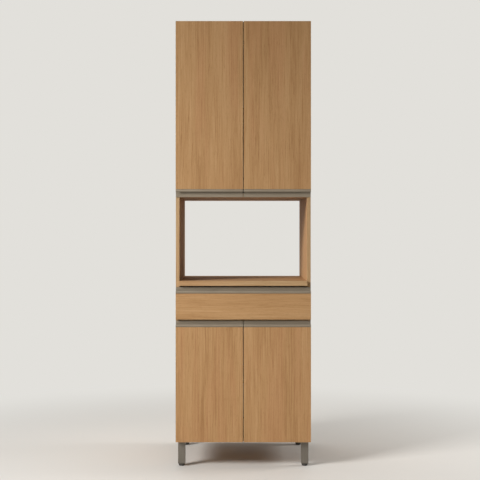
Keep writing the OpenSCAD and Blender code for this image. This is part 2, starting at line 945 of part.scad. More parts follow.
// Space of the drawer bottom, widened by a clearance for its grooves
module drawer_bottom_space(clear = 0) {
    reach = drawer_groove_d - (clear > 0 ? 0 : rest_gap);
    x = box_x - drawer_board_t + reach;
    y0 = door_back_y + drawer_board_t - reach;
    y1 = box_rear_y - drawer_board_t + reach;
    z = box_z + drawer_bottom_up;
    block([-x, y0, z - clear], [x, y1, z + drawer_bottom_t + clear]);
}

module drawer_front_board() {
    color(OAK) difference() {
        front_board(DRAWER_FRONT, -half_w, half_w);
        at_front_screws() screw_bore(front_screw_l);
    }
}

module drawer_front_edging() {
    color(OAK_EDGE) front_edging(DRAWER_FRONT, -half_w, half_w);
}

module drawer_handle() {
    color(ALUMINIUM) handle_profile(DRAWER_FRONT, -half_w, half_w, base_profile_h, base_lip_h);
}

// A cross board of the drawer box that starts at a place along Y
module box_cross_board(y) {
    x = box_x - drawer_board_t;
    difference() {
        block([-x, y, box_z], [x, y + drawer_board_t, box_z + drawer_box_h]);
        drawer_bottom_space(fit);
        both_sides() at_corner_screws() screw_bore(corner_screw_l);
    }
}

module drawer_box_front() {
    color(WHITE_BOARD) difference() {
        box_cross_board(door_back_y);
        at_front_screws() screw_bore(front_screw_l);
    }
}

module drawer_back() {
    color(WHITE_BOARD) box_cross_board(box_rear_y - drawer_board_t);
}

module drawer_sides() {
    color(WHITE_BOARD) both_sides() difference() {
        block([box_x - drawer_board_t, door_back_y, box_z], [box_x, box_rear_y, box_z + drawer_box_h]);
        drawer_bottom_space(fit);
        at_corner_screws() screw_bore(corner_screw_l);
        at_drawer_member_screws() screw_bore(short_screw_l - runner_sheet);
    }
}

module drawer_bottom() {
    color(WHITE_BOARD) drawer_bottom_space();
}

module drawer_screws() {
    color(ZINC) {
        at_front_screws() screw(front_screw_l);
        both_sides() {
            at_corner_screws() screw(corner_screw_l);
            at_drawer_member_screws() screw(short_screw_l - runner_sheet);
        }
    }
}

// A C-shaped runner member between x0 and x1 with its web at x0 (1) or at x1 (-1)
module member(x0, x1, height, web_side) {
    cut_x0 = web_side > 0 ? x0 + runner_sheet : x0 - past;
    cut_x1 = web_side > 0 ? x1 + past : x1 - runner_sheet;
    y1 = runner_y + runner_len;
    reach = height / 2;
    difference() {
        block([x0, runner_y, runner_z - reach], [x1, y1, runner_z + reach]);
        block(
            [cut_x0, runner_y - past, runner_z - reach + runner_sheet],
            [cut_x1, y1 + past, runner_z + reach - runner_sheet]
        );
    }
}

module cabinet_member() {
    difference() {
        member(side_x - runner_w + 2 * member_step, side_x, runner_h, -1);
        runner_bores();
    }
}

module middle_member() {
    member(side_x - runner_w + 2 * member_step, side_x - member_step, runner_h - 2 * member_step, -1);
}

module drawer_member() {
    difference() {
        member(box_x, side_x - 2 * member_step, runner_h - 4 * member_step, 1);
        at_drawer_member_screws() screw_bore(short_screw_l);
    }
}

module runner_cabinet_members() {
    color(ZINC) both_sides() cabinet_member();
}

module runner_middle_right() {
    color(ZINC) middle_member();
}

module runner_middle_left() {
    color(ZINC) on_left() middle_member();
}

module runner_drawer_members() {
    color(ZINC) both_sides() drawer_member();
}

module runner_screws() {
    color(ZINC) both_sides() for (y = runner_screw_ys)
        translate([side_x - runner_sheet, y, runner_z]) rotate([0, -90, 0]) screw(short_screw_l);
}

side_panel_left();
side_panel_right();
bottom_panel();
divider_rail_front();
divider_rail_rear();
niche_floor_panel();
niche_ceiling_panel();
top_panel();
top_front_rail();
wall_fixing_rail();
lower_shelf();
upper_shelf();
back_panel_lower();
back_panel_upper();
carcass_edge_bands();
shelf_pins();
cam_discs();
cam_bolts();
wood_dowels();
door_bumpers();
leg_tubes();
leg_plates();
leg_inserts();
leg_screws();
foot_front_left();
foot_front_right();
foot_rear_left();
foot_rear_right();
hinge_arms();
hinge_plates();
hinge_plate_screws();
upper_left_door_board();
upper_left_door_edging();
upper_left_door_handle();
upper_left_door_cups();
upper_right_door_board();
upper_right_door_edging();
upper_right_door_handle();
upper_right_door_cups();
lower_left_door_board();
lower_left_door_edging();
lower_left_door_handle();
lower_left_door_cups();
lower_right_door_board();
lower_right_door_edging();
lower_right_door_handle();
lower_right_door_cups();
drawer_front_board();
drawer_front_edging();
drawer_handle();
drawer_box_front();
drawer_sides();
drawer_back();
drawer_bottom();
drawer_screws();
runner_cabinet_members();
runner_middle_left();
runner_middle_right();
runner_drawer_members();
runner_screws();
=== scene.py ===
"""Looks of a tall oven housing unit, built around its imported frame.

The frame holds every board, profile, hinge and runner in its place. This script gives each of them its
finish, puts detailed fasteners, cups, cams, bumpers and feet where the plain ones are, and sets up a
plain studio. All places are in metres, with X to the right, Y to the back and Z up.
"""

import logging
import math
from dataclasses import dataclass
from enum import Enum
from typing import Any, Iterable, Optional, Sequence, Union

import bmesh
import bpy
from mathutils import Matrix, Vector


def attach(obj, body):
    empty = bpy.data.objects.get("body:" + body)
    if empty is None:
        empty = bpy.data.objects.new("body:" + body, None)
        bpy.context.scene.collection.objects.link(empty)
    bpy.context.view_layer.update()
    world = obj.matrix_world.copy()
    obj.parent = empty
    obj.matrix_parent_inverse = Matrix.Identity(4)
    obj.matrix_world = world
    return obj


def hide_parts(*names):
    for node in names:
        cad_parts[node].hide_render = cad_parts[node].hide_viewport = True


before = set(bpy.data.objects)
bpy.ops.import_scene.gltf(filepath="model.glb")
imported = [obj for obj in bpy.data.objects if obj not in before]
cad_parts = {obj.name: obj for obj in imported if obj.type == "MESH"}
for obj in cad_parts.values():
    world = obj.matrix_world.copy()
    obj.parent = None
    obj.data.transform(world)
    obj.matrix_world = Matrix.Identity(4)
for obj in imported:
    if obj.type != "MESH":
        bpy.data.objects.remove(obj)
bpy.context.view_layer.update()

MM = 0.001
# Points closer than WELD are one point, and those within TIP of a solid's far end belong to that end.
WELD = 0.01 * MM
TIP = 0.02 * MM
# Edges sharper than SOFTENED_FROM get a small bevel, and those below SMOOTH_UP_TO are shaded as smooth.
SOFTENED_FROM = math.radians(50)
BEVEL_STEPS = 2
SMOOTH_UP_TO = math.radians(32)
# The search for a flange's edge starts this much past its wing, and halves its step this often.
SEARCH_PAST = 1.2
HALVINGS = 24
# The least sine or cosine that a length is divided by.
TINY = 1e-6
# The digits, in metres, to which places count when solids are put in order.
PLACE_DIGITS = 5
# The specular level of laminate and of edge band, which are nearly matt.
LAMINATE_SHEEN = 0.06
# The places of the Mix node's sockets for colours: two inputs, and the output.
MIX_FIRST, MIX_SECOND, MIX_RESULT = 6, 7, 2

Socket = bpy.types.NodeSocket
RGBA = tuple[float, float, float, float]
Ring = Sequence[tuple[float, float]]

log = logging.getLogger("oven_housing")


def screen_colour(red: int, green: int, blue: int) -> RGBA:
    """Turns a colour as a screen shows it into the linear values that a shader takes.

    Args:
        red: Level from 0 to 255.
        green: Level from 0 to 255.
        blue: Level from 0 to 255.

    Returns:
        The linear colour with full opacity.
    """

    def linear(level: int) -> float:
        """Undoes the screen's curve for one channel."""
        share = level / 255
        return share / 12.92 if share <= 0.04045 else ((share + 0.055) / 1.055) ** 2.4

    return (linear(red), linear(green), linear(blue), 1.0)


BACKGROUND = screen_colour(226, 224, 219)


class Axis(Enum):
    """A direction of the frame."""

    X = 0
    Y = 1
    Z = 2


def put(name: str, data: Union[bpy.types.Mesh, bpy.types.Light, bpy.types.Camera]) -> bpy.types.Object:
    """Makes an object and links it to the scene.

    Args:
        name: The object's name.
        data: What it shows.

    Returns:
        The new object.
    """
    made = bpy.data.objects.new(name, data)
    bpy.context.scene.collection.objects.link(made)
    return made


# ---------- Shader maths ----------


class Signal:
    """A value that runs through a material and takes part in plain arithmetic."""

    def __init__(self, graph: "Graph", socket: Socket) -> None:
        """Wraps an output socket of a node in graph."""
        self.graph = graph
        self.socket = socket

    def __add__(self, other: "Number") -> "Signal":
        """This value plus other."""
        return self.graph.math("ADD", self, other)

    def __radd__(self, other: "Number") -> "Signal":
        """Other plus this value."""
        return self.graph.math("ADD", other, self)

    def __sub__(self, other: "Number") -> "Signal":
        """This value less other."""
        return self.graph.math("SUBTRACT", self, other)

    def __rsub__(self, other: "Number") -> "Signal":
        """Other less this value."""
        return self.graph.math("SUBTRACT", other, self)

    def __mul__(self, other: "Number") -> "Signal":
        """This value times other."""
        return self.graph.math("MULTIPLY", self, other)

    def __rmul__(self, other: "Number") -> "Signal":
        """Other times this value."""
        return self.graph.math("MULTIPLY", other, self)

    def __gt__(self, other: "Number") -> "Signal":
        """1 where this value is above other, and 0 elsewhere."""
        return self.graph.math("GREATER_THAN", self, other)

    def __abs__(self) -> "Signal":
        """The size of this value without its sign."""
        return self.graph.math("ABSOLUTE", self, 0.0)

    def between(self, low: float, high: float) -> "Signal":
        """A smooth climb from 0 at low to 1 at high.

        Args:
            low: Where the climb starts.
            high: Where it ends.

        Returns:
            The climb.
        """
        made = self.graph.node(
            "ShaderNodeMapRange",
            {"interpolation_type": "SMOOTHSTEP"},
            {"Value": self, "From Min": low, "From Max": high},
        )
        return Signal(self.graph, made.outputs["Result"])


Number = Union[float, Signal]


class Graph:
    """The nodes of one material or world, added through a few short methods."""

    def __init__(self, tree: bpy.types.NodeTree) -> None:
        """Starts an empty graph in tree."""
        tree.nodes.clear()
        self.tree = tree

    def node(
        self,
        kind: str,
        settings: Optional[dict[str, Any]] = None,
        inputs: Optional[dict[Union[str, int], Any]] = None,
    ) -> bpy.types.Node:
        """Adds a node.

        Args:
            kind: The node's type.
            settings: Its properties, which are set first; "stops" holds the stops of a ramp.
            inputs: Values or links of its sockets, by name or by place.

        Returns:
            The new node.
        """
        made = self.tree.nodes.new(kind)
        for name, value in (settings or {}).items():
            if name == "stops":
                self._set_stops(made, value)
            else:
                setattr(made, name, value)
        for key, value in (inputs or {}).items():
            self._feed(made.inputs[key], value)
        return made

    def _set_stops(self, ramp: bpy.types.Node, stops: Sequence[tuple[float, RGBA]]) -> None:
        """Gives a ramp its stops, from first to last.

        Args:
            ramp: The ramp's node.
            stops: The place and the colour of each stop.
        """
        elements = ramp.color_ramp.elements
        while len(elements) < len(stops):
            elements.new(1.0)
        for element, (place, colour) in zip(elements, stops):
            element.position = place
            element.color = colour

    def _feed(self, socket: Socket, value: Any) -> None:
        """Links a socket, or sets its own value.

        Args:
            socket: The input.
            value: A signal, an output or a plain value.
        """
        if isinstance(value, Signal):
            self.tree.links.new(value.socket, socket)
        elif isinstance(value, Socket):
            self.tree.links.new(value, socket)
        else:
            socket.default_value = value

    def math(self, operation: str, first: Number, second: Number) -> Signal:
        """Adds a Math node and returns its value."""
        made = self.node("ShaderNodeMath", {"operation": operation}, {0: first, 1: second})
        return Signal(self, made.outputs[0])

    def place(self) -> Socket:
        """The point of the surface in the frame's axes, as the piece lies at rest."""
        return self.node("ShaderNodeTexCoord").outputs["Object"]

    def facing(self, axis: Axis) -> Signal:
        """How much the surface faces along axis, from 0 to 1 either way."""
        normal = self.node("ShaderNodeTexCoord").outputs["Normal"]
        return abs(self.component(normal, axis))

    def component(self, vector: Socket, axis: Axis) -> Signal:
        """One component of a vector."""
        parts = self.node("ShaderNodeSeparateXYZ", inputs={0: vector})
        return Signal(self, parts.outputs[axis.value])

    def vector_math(self, operation: str, first: Any, second: Any) -> Socket:
        """Adds a Vector Math node on two vectors and returns its vector."""
        made = self.node("ShaderNodeVectorMath", {"operation": operation}, {0: first, 1: second})
        return made.outputs["Vector"]

    def stretched(self, vector: Socket, axis: Axis, times: float) -> Socket:
        """Draws a pattern out along an axis.

        Args:
            vector: The place that the pattern reads.
            axis: The axis along which it runs.
            times: How much longer it gets.

        Returns:
            The place for the longer pattern.
        """
        factors = [1.0, 1.0, 1.0]
        factors[axis.value] = 1 / times
        return self.vector_math("MULTIPLY", vector, factors)

    def noise(self, vector: Socket, size: float, detail: float) -> bpy.types.Node:
        """Adds a noise whose largest spots are size metres wide, with detail finer layers on them."""
        inputs = {"Vector": vector, "Scale": 1 / size, "Detail": detail}
        return self.node("ShaderNodeTexNoise", inputs=inputs)

    def mixed(self, factor: Number, first: Any, second: Any) -> Socket:
        """Mixes two colours or links to colours, with the share of the second as factor."""
        inputs = {0: factor, MIX_FIRST: first, MIX_SECOND: second}
        return self.node("ShaderNodeMix", {"data_type": "RGBA"}, inputs).outputs[MIX_RESULT]

    def ramp(self, value: Signal, stops: Sequence[tuple[float, RGBA]]) -> Socket:
        """Turns a value into a colour by a ramp."""
        return self.node("ShaderNodeValToRGB", {"stops": stops}, {0: value}).outputs["Color"]

    def bump(self, height: Signal, depth: float, strength: float = 0.5) -> Socket:
        """Turns a height from 0 to 1 into a bumped normal, depth metres deep."""
        inputs = {"Height": height, "Distance": depth, "Strength": strength}
        return self.node("ShaderNodeBump", inputs=inputs).outputs["Normal"]

    def blended(self, share: Any, first: bpy.types.Node, second: bpy.types.Node) -> bpy.types.Node:
        """Mixes two shaders, with the share of the second."""
        inputs = {0: share, 1: first.outputs[0], 2: second.outputs[0]}
        return self.node("ShaderNodeMixShader", inputs=inputs)

    def surface(self, **inputs: Any) -> None:
        """Adds the surface shader and the output.

        Args:
            inputs: The shader's inputs, with underscores for the spaces in their names.
        """
        named = {name.replace("_", " "): value for name, value in inputs.items()}
        shader = self.node("ShaderNodeBsdfPrincipled", inputs=named)
        self.node("ShaderNodeOutputMaterial", inputs={"Surface": shader.outputs[0]})


# ---------- Finishes ----------


@dataclass(frozen=True)
class Finish:
    """What all finishes share: a name, and a material that is made once."""

    name: str

    def material(self) -> bpy.types.Material:
        """The finish's material, which is made the first time.

        Returns:
            The material.
        """
        made = bpy.data.materials.get(self.name)
        if made is None:
            made = bpy.data.materials.new(self.name)
            made.use_nodes = True
            self.paint(Graph(made.node_tree))
        return made

    def paint(self, graph: Graph) -> None:
        """Adds the finish's nodes to graph."""
        raise NotImplementedError


@dataclass(frozen=True)
class OakTones:
    """The colours of the oak print, from its dark streaks to its light ones."""

    dark: RGBA = screen_colour(147, 107, 69)
    middle: RGBA = screen_colour(174, 135, 93)
    light: RGBA = screen_colour(190, 153, 111)
    blush: RGBA = screen_colour(177, 130, 92)
    pore: RGBA = screen_colour(112, 78, 46)


@dataclass(frozen=True)
class Layer:
    """One layer of a print: the width of its spots, how much longer they are, and its detail."""

    size: float
    run: float = 1.0
    detail: float = 2.0

    def noise(self, graph: Graph, place: Socket, grain: Axis) -> bpy.types.Node:
        """Adds the layer's texture, drawn out along the grain."""
        return graph.noise(graph.stretched(place, grain, self.run), self.size, self.detail)

    def level(self, graph: Graph, place: Socket, grain: Axis) -> Signal:
        """The layer's value around 0.5 at each place."""
        return Signal(graph, self.noise(graph, place, grain).outputs[0])


@dataclass
class OakPrint:
    """The oak print on one direction of grain: its colour, its relief and its sheen."""

    colour: Socket
    relief: Signal
    roughness: Signal


@dataclass(frozen=True)
class OakGrain:
    """Straight-grained oak: soft clouds, streaks, fine lines, short dark ticks and pores.

    A share says how much a layer counts. Ticks and pores come out where their layer climbs through the
    levels of sparse, and the blush where its layer climbs through the levels of wide.
    """

    bend: Layer = Layer(110 * MM, 7)
    clouds: Layer = Layer(62 * MM, 12, 1)
    streaks: Layer = Layer(8 * MM, 44)
    lines: Layer = Layer(3 * MM, 46, 3)
    ticks: Layer = Layer(3.4 * MM, 16)
    pores: Layer = Layer(0.7 * MM, 26, 1)
    blush: Layer = Layer(46 * MM, 12, 1)
    drift: float = 5 * MM
    cloud_share: float = 0.42
    streak_share: float = 0.36
    line_share: float = 0.6
    tick_share: float = 0.12
    pore_share: float = 0.32
    blush_share: float = 0.34
    sparse: tuple[float, float] = (0.60, 0.72)
    wide: tuple[float, float] = (0.45, 0.7)
    tone_stops: tuple[float, float, float] = (0.22, 0.5, 0.8)
    line_relief: float = 0.4
    pore_relief: float = 0.4
    roughness: float = 0.7
    streak_roughness: float = 0.16
    pore_roughness: float = 0.1

    def draw(self, graph: Graph, place: Socket, grain: Axis, tones: OakTones) -> OakPrint:
        """Adds the nodes of the print.

        Args:
            graph: The material's nodes.
            place: The point of the surface.
            grain: The direction of the grain.
            tones: The colours of the print.

        Returns:
            The finished print.
        """
        slow = self.bend.noise(graph, place, grain).outputs[1]
        wander = graph.vector_math("SUBTRACT", slow, (0.5,) * 3)
        drift = graph.vector_math("MULTIPLY", wander, (self.drift,) * 3)
        bent = graph.vector_math("ADD", place, drift)
        clouds = self.clouds.level(graph, bent, grain)
        streaks = self.streaks.level(graph, bent, grain)
        lines = self.lines.level(graph, bent, grain)
        ticks = self.ticks.level(graph, bent, grain).between(*self.sparse)
        pores = self.pores.level(graph, bent, grain).between(*self.sparse)
        broad = 0.5 + (clouds - 0.5) * self.cloud_share + (streaks - 0.5) * self.streak_share
        tone = broad + (lines - 0.5) * self.line_share - ticks * self.tick_share
        colours = (tones.dark, tones.middle, tones.light)
        wood = graph.ramp(tone, list(zip(self.tone_stops, colours)))
        warmth = self.blush.level(graph, bent, grain).between(*self.wide) * self.blush_share
        warm = graph.mixed(warmth, wood, tones.blush)
        colour = graph.mixed(pores * self.pore_share, warm, tones.pore)
        relief = 0.5 + (lines - 0.5) * self.line_relief - pores * self.pore_relief
        rough = self.roughness + (streaks - 0.5) * self.streak_roughness + pores * self.pore_roughness
        return OakPrint(colour, relief, rough)


@dataclass(frozen=True)
class ChipCore:
    """The bare cut edge of chipboard: pressed flakes with dark bits of bark."""

    flake: float = 1.9 * MM
    flake_run: float = 2.0
    grit: Layer = Layer(0.8 * MM, detail=3)
    flake_share: float = 0.75
    grit_share: float = 0.3
    stops: tuple[tuple[float, RGBA], ...] = (
        (0.0, screen_colour(122, 92, 60)),
        (0.35, screen_colour(168, 138, 100)),
        (0.8, screen_colour(190, 163, 124)),
        (1.0, screen_colour(206, 184, 148)),
    )

    def draw(self, graph: Graph, place: Socket) -> tuple[Socket, Signal]:
        """Adds the nodes of the chips.

        Args:
            graph: The material's nodes.
            place: The point of the surface.

        Returns:
            The colour and the relief.
        """
        drawn_out = graph.stretched(place, Axis.Y, self.flake_run)
        inputs = {"Vector": drawn_out, "Scale": 1 / self.flake}
        flakes = graph.node("ShaderNodeTexVoronoi", {"feature": "F1"}, inputs).outputs["Color"]
        flake = Signal(graph, graph.node("ShaderNodeSeparateColor", inputs={0: flakes}).outputs[0])
        grit = self.grit.level(graph, place, Axis.Y)
        colour = graph.ramp(flake * self.flake_share + grit * self.grit_share, self.stops)
        return colour, (flake + grit) * 0.5


@dataclass(frozen=True)
class OakLaminate(Finish):
    """Chipboard with an oak print on its two broad faces and bare chips on its cut edges."""

    broad: Axis = Axis.Y
    grain: Axis = Axis.Z
    tones: OakTones = OakTones()
    pattern: OakGrain = OakGrain()
    core: ChipCore = ChipCore()
    face_from: float = 0.4
    core_roughness: float = 0.8
    relief: float = 0.05 * MM

    def paint(self, graph: Graph) -> None:
        """Adds the print, the chips and the mask between them.

        Args:
            graph: The material's nodes.
        """
        place = graph.place()
        printed = self.pattern.draw(graph, place, self.grain, self.tones)
        chips, chip_relief = self.core.draw(graph, place)
        face = graph.facing(self.broad) > self.face_from
        graph.surface(
            Base_Color=graph.mixed(face, chips, printed.colour),
            Roughness=self.core_roughness + face * (printed.roughness - self.core_roughness),
            Specular_IOR_Level=LAMINATE_SHEEN,
            Normal=graph.bump(chip_relief + face * (printed.relief - chip_relief), self.relief),
        )


@dataclass(frozen=True)
class OakBand(Finish):
    """Edge band with the oak print, upright past a distance from the middle and level inside it."""

    upright_from: float = 0.0
    tones: OakTones = OakTones(
        dark=screen_colour(146, 114, 77),
        middle=screen_colour(173, 141, 103),
        light=screen_colour(191, 162, 124),
    )
    pattern: OakGrain = OakGrain(roughness=0.74)
    relief: float = 0.04 * MM

    def paint(self, graph: Graph) -> None:
        """Adds both prints and the mask between them.

        Args:
            graph: The material's nodes.
        """
        place = graph.place()
        level = self.pattern.draw(graph, place, Axis.X, self.tones)
        upright = self.pattern.draw(graph, place, Axis.Z, self.tones)
        out = abs(graph.component(place, Axis.X)) > self.upright_from
        graph.surface(
            Base_Color=graph.mixed(out, level.colour, upright.colour),
            Roughness=level.roughness,
            Specular_IOR_Level=LAMINATE_SHEEN,
            Normal=graph.bump(level.relief + out * (upright.relief - level.relief), self.relief),
        )


@dataclass(frozen=True)
class CloseTones(Finish):
    """Two close tones in soft patches, and a fine grain in the relief and the sheen.

    Its own values are those of white board with a resin coat.
    """

    first: RGBA = screen_colour(222, 219, 211)
    second: RGBA = screen_colour(218, 214, 205)
    along: Axis = Axis.X
    patch: Layer = Layer(90 * MM)
    patch_levels: tuple[float, float] = (0.3, 0.7)
    grain: Layer = Layer(0.9 * MM)
    metallic: float = 0.0
    roughness: float = 0.36
    patch_roughness: float = 0.0
    grain_roughness: float = 0.14
    relief: float = 0.05 * MM
    relief_strength: float = 0.4

    def paint(self, graph: Graph) -> None:
        """Adds the patches and the grain.

        Args:
            graph: The material's nodes.
        """
        place = graph.place()
        patches = self.patch.level(graph, place, self.along).between(*self.patch_levels)
        grain = self.grain.level(graph, place, self.along)
        rough = self.roughness + patches * self.patch_roughness + grain * self.grain_roughness
        graph.surface(
            Base_Color=graph.mixed(patches, self.first, self.second),
            Metallic=self.metallic,
            Roughness=rough,
            Normal=graph.bump(grain, self.relief, self.relief_strength),
        )


@dataclass(frozen=True)
class PlatedMetal(CloseTones):
    """Plated steel with a slightly patchy sheen."""

    first: RGBA = screen_colour(188, 187, 183)
    second: RGBA = screen_colour(205, 203, 198)
    patch: Layer = Layer(6 * MM, detail=4)
    grain: Layer = Layer(0.35 * MM)
    metallic: float = 1.0
    roughness: float = 0.254
    patch_roughness: float = 0.032
    grain_roughness: float = 0.06
    relief: float = 0.01 * MM


@dataclass(frozen=True)
class MouldedPlastic(CloseTones):
    """Moulded plastic with a fine spark-eroded texture and a light scuffing."""

    first: RGBA = screen_colour(50, 47, 42)
    second: RGBA = screen_colour(70, 66, 59)
    patch: Layer = Layer(7 * MM, detail=4)
    patch_levels: tuple[float, float] = (0.5, 0.75)
    grain: Layer = Layer(0.5 * MM)
    roughness: float = 0.46
    patch_roughness: float = 0.12
    grain_roughness: float = 0.08
    relief_strength: float = 0.5


@dataclass(frozen=True)
class TurnedBeech(CloseTones):
    """Beech dowels, whose short grain runs along X."""

    first: RGBA = screen_colour(216, 190, 150)
    second: RGBA = screen_colour(190, 157, 115)
    patch: Layer = Layer(0.6 * MM, 8, 3)
    patch_levels: tuple[float, float] = (0.4, 0.65)
    grain: Layer = Layer(0.6 * MM, 8, 3)
    roughness: float = 0.6
    grain_roughness: float = 0.15
    relief_strength: float = 0.5


@dataclass(frozen=True)
class BackBoard(Finish):
    """Thin fibre board, white-coated in front and raw behind."""

    coat: RGBA = screen_colour(216, 212, 203)
    raw: RGBA = screen_colour(142, 106, 72)
    raw_dark: RGBA = screen_colour(118, 84, 55)
    fibre: Layer = Layer(1.6 * MM, 3, 4)
    cloud: Layer = Layer(70 * MM, detail=3)
    fibre_share: float = 0.6
    levels: tuple[float, float] = (0.35, 0.65)
    behind_from: float = 0.3
    roughness: float = 0.4
    raw_roughness: float = 0.35
    fibre_roughness: float = 0.08
    relief: float = 0.08 * MM

    def paint(self, graph: Graph) -> None:
        """Adds the pressed fibres of the raw side, and the coat on the front.

        Args:
            graph: The material's nodes.
        """
        place = graph.place()
        normal = graph.node("ShaderNodeTexCoord").outputs["Normal"]
        behind = graph.component(normal, Axis.Y) > self.behind_from
        fibres = self.fibre.level(graph, place, Axis.Z)
        cloud = self.cloud.level(graph, place, Axis.Z)
        spots = fibres * self.fibre_share + cloud * (1 - self.fibre_share)
        mottle = spots.between(*self.levels)
        raw = graph.mixed(mottle, self.raw_dark, self.raw)
        graph.surface(
            Base_Color=graph.mixed(behind, self.coat, raw),
            Roughness=self.roughness + behind * self.raw_roughness + fibres * self.fibre_roughness,
            Normal=graph.bump(fibres * behind, self.relief),
        )


@dataclass(frozen=True)
class BrushedMetal(Finish):
    """Metal with fine brush lines along one direction."""

    along: Axis = Axis.X
    bright: RGBA = screen_colour(146, 134, 117)
    dull: RGBA = screen_colour(130, 118, 101)
    brush: Layer = Layer(0.45 * MM, 130, 3)
    cloud: Layer = Layer(30 * MM, 3, 3)
    brush_share: float = 0.7
    levels: tuple[float, float] = (0.3, 0.7)
    roughness: float = 0.47
    brush_roughness: float = 0.22
    cloud_roughness: float = 0.12
    metallic: float = 0.5
    relief: float = 0.015 * MM

    def paint(self, graph: Graph) -> None:
        """Adds the brush lines and slow clouds of handling.

        Args:
            graph: The material's nodes.
        """
        place = graph.place()
        brush = self.brush.level(graph, place, self.along)
        cloud = self.cloud.level(graph, place, self.along)
        streaks = brush * self.brush_share + cloud * (1 - self.brush_share)
        uneven = (brush - 0.5) * self.brush_roughness + (cloud - 0.5) * self.cloud_roughness
        graph.surface(
            Base_Color=graph.mixed(streaks.between(*self.levels), self.dull, self.bright),
            Metallic=self.metallic,
            Roughness=self.roughness + uneven,
            Normal=graph.bump(brush, self.relief),
        )


class Finishes:
    """The finishes of the unit, by what they cover."""

    UPRIGHT_FRONT = OakLaminate("oak_front_upright", broad=Axis.Y, grain=Axis.Z)
    LEVEL_FRONT = OakLaminate("oak_front_level", broad=Axis.Y, grain=Axis.X)
    SIDE_BOARD = OakLaminate("oak_side_board", broad=Axis.X, grain=Axis.Z)
    CROSS_BOARD = OakLaminate("oak_cross_board", broad=Axis.Z, grain=Axis.X)
    CARCASS_BAND = OakBand("oak_band_carcass", upright_from=0.284)
    FRONT_BAND = OakBand("oak_band_front", upright_from=0.0)
    DRAWER_BAND = OakBand("oak_band_drawer", upright_from=0.298)
    WHITE_BOARD = CloseTones("white_coated_board")
    BACK_BOARD = BackBoard("thin_back_board")
    PROFILE = BrushedMetal("brushed_aluminium_profile", along=Axis.X)
    LEG = BrushedMetal(
        "satin_grey_leg",
        along=Axis.Z,
        bright=screen_colour(124, 117, 107),
        dull=screen_colour(108, 102, 93),
        roughness=0.45,
    )
    NICKEL = PlatedMetal("nickel_plated_steel")
    ZINC = PlatedMetal(
        "zinc_plated_steel",
        first=screen_colour(174, 176, 179),
        second=screen_colour(188, 190, 192),
        roughness=0.364,
    )
    BEECH = TurnedBeech("beech_dowel")
    BLACK = MouldedPlastic("black_moulded_plastic")
    SOFT = MouldedPlastic(
        "soft_grey_bumper",
        first=screen_colour(196, 196, 192),
        second=screen_colour(208, 208, 205),
        roughness=0.3,
    )


# ---------- Meshes ----------


class Sketch:
    """A mesh under way, in metres and in the frame's axes."""

    def __init__(self) -> None:
        """Starts an empty mesh."""
        self.bm = bmesh.new()

    def turn(self, rings: Sequence[Ring], place: Matrix) -> None:
        """Adds a closed surface that runs round an axis.

        Args:
            rings: One list per ring, with the radius and the height at each angle. A ring with a single
                pair is a point on the axis.
            place: Where the axis lies; its Z runs along the axis.
        """
        count = max(len(points) for points in rings)
        loops = []
        for points in rings:
            spots = [place @ self._spot(points, k) for k in range(len(points))]
            loops.append([self.bm.verts.new(spot) for spot in spots])
        for near, far in zip(loops, loops[1:]):
            for k in range(count):
                pairs = ((near, k), (near, k + 1), (far, k + 1), (far, k))
                corners = [loop[turn % count % len(loop)] for loop, turn in pairs]
                self.bm.faces.new(list(dict.fromkeys(corners)))

    @staticmethod
    def _spot(points: Ring, k: int) -> Vector:
        """One point of a ring, before it is placed.

        Args:
            points: The ring.
            k: The number of the point.

        Returns:
            The point.
        """
        radius, height = points[k]
        if len(points) == 1:
            return Vector((0, 0, height))
        angle = math.tau * k / len(points)
        return Vector((radius * math.cos(angle), radius * math.sin(angle), height))

    def prism(self, outline: Ring, low: float, high: float, taper: float, place: Matrix) -> None:
        """Adds an outline drawn out from low to high.

        Args:
            outline: Its corners, across the direction in which it is drawn out.
            low: Where it starts.
            high: Where it ends.
            taper: Its width at low, as a share of its width at high.
            place: Where it lies; its Z is the direction in which it is drawn out.
        """
        feet = [self.bm.verts.new(place @ Vector((x * taper, y * taper, low))) for x, y in outline]
        tops = [self.bm.verts.new(place @ Vector((x, y, high))) for x, y in outline]
        self.bm.faces.new(feet)
        self.bm.faces.new(tops)
        for k in range(len(outline)):
            after = (k + 1) % len(outline)
            self.bm.faces.new([feet[k], feet[after], tops[after], tops[k]])

    def mesh(self, name: str) -> bpy.types.Mesh:
        """Closes the sketch and makes it a mesh with outward normals.

        Args:
            name: The mesh's name.

        Returns:
            The mesh.
        """
        bmesh.ops.recalc_face_normals(self.bm, faces=self.bm.faces)
        made = bpy.data.meshes.new(name)
        self.bm.to_mesh(made)
        self.bm.free()
        return made


def ring(radius: float, height: float, sides: int) -> Ring:
    """A round ring for Sketch.turn."""
    return [(radius, height)] * sides


def rings_of(sides: int, *points: tuple[float, float]) -> list[Ring]:
    """Round rings for Sketch.turn, with a radius and a height each."""
    return [ring(radius, height, sides) for radius, height in points]


def centre(height: float) -> Ring:
    """A point on the axis for Sketch.turn."""
    return [(0.0, height)]


def aimed(spot: Vector, direction: Vector) -> Matrix:
    """A placement at spot whose Z runs along direction."""
    return Matrix.Translation(spot) @ direction.to_track_quat("Z", "Y").to_matrix().to_4x4()


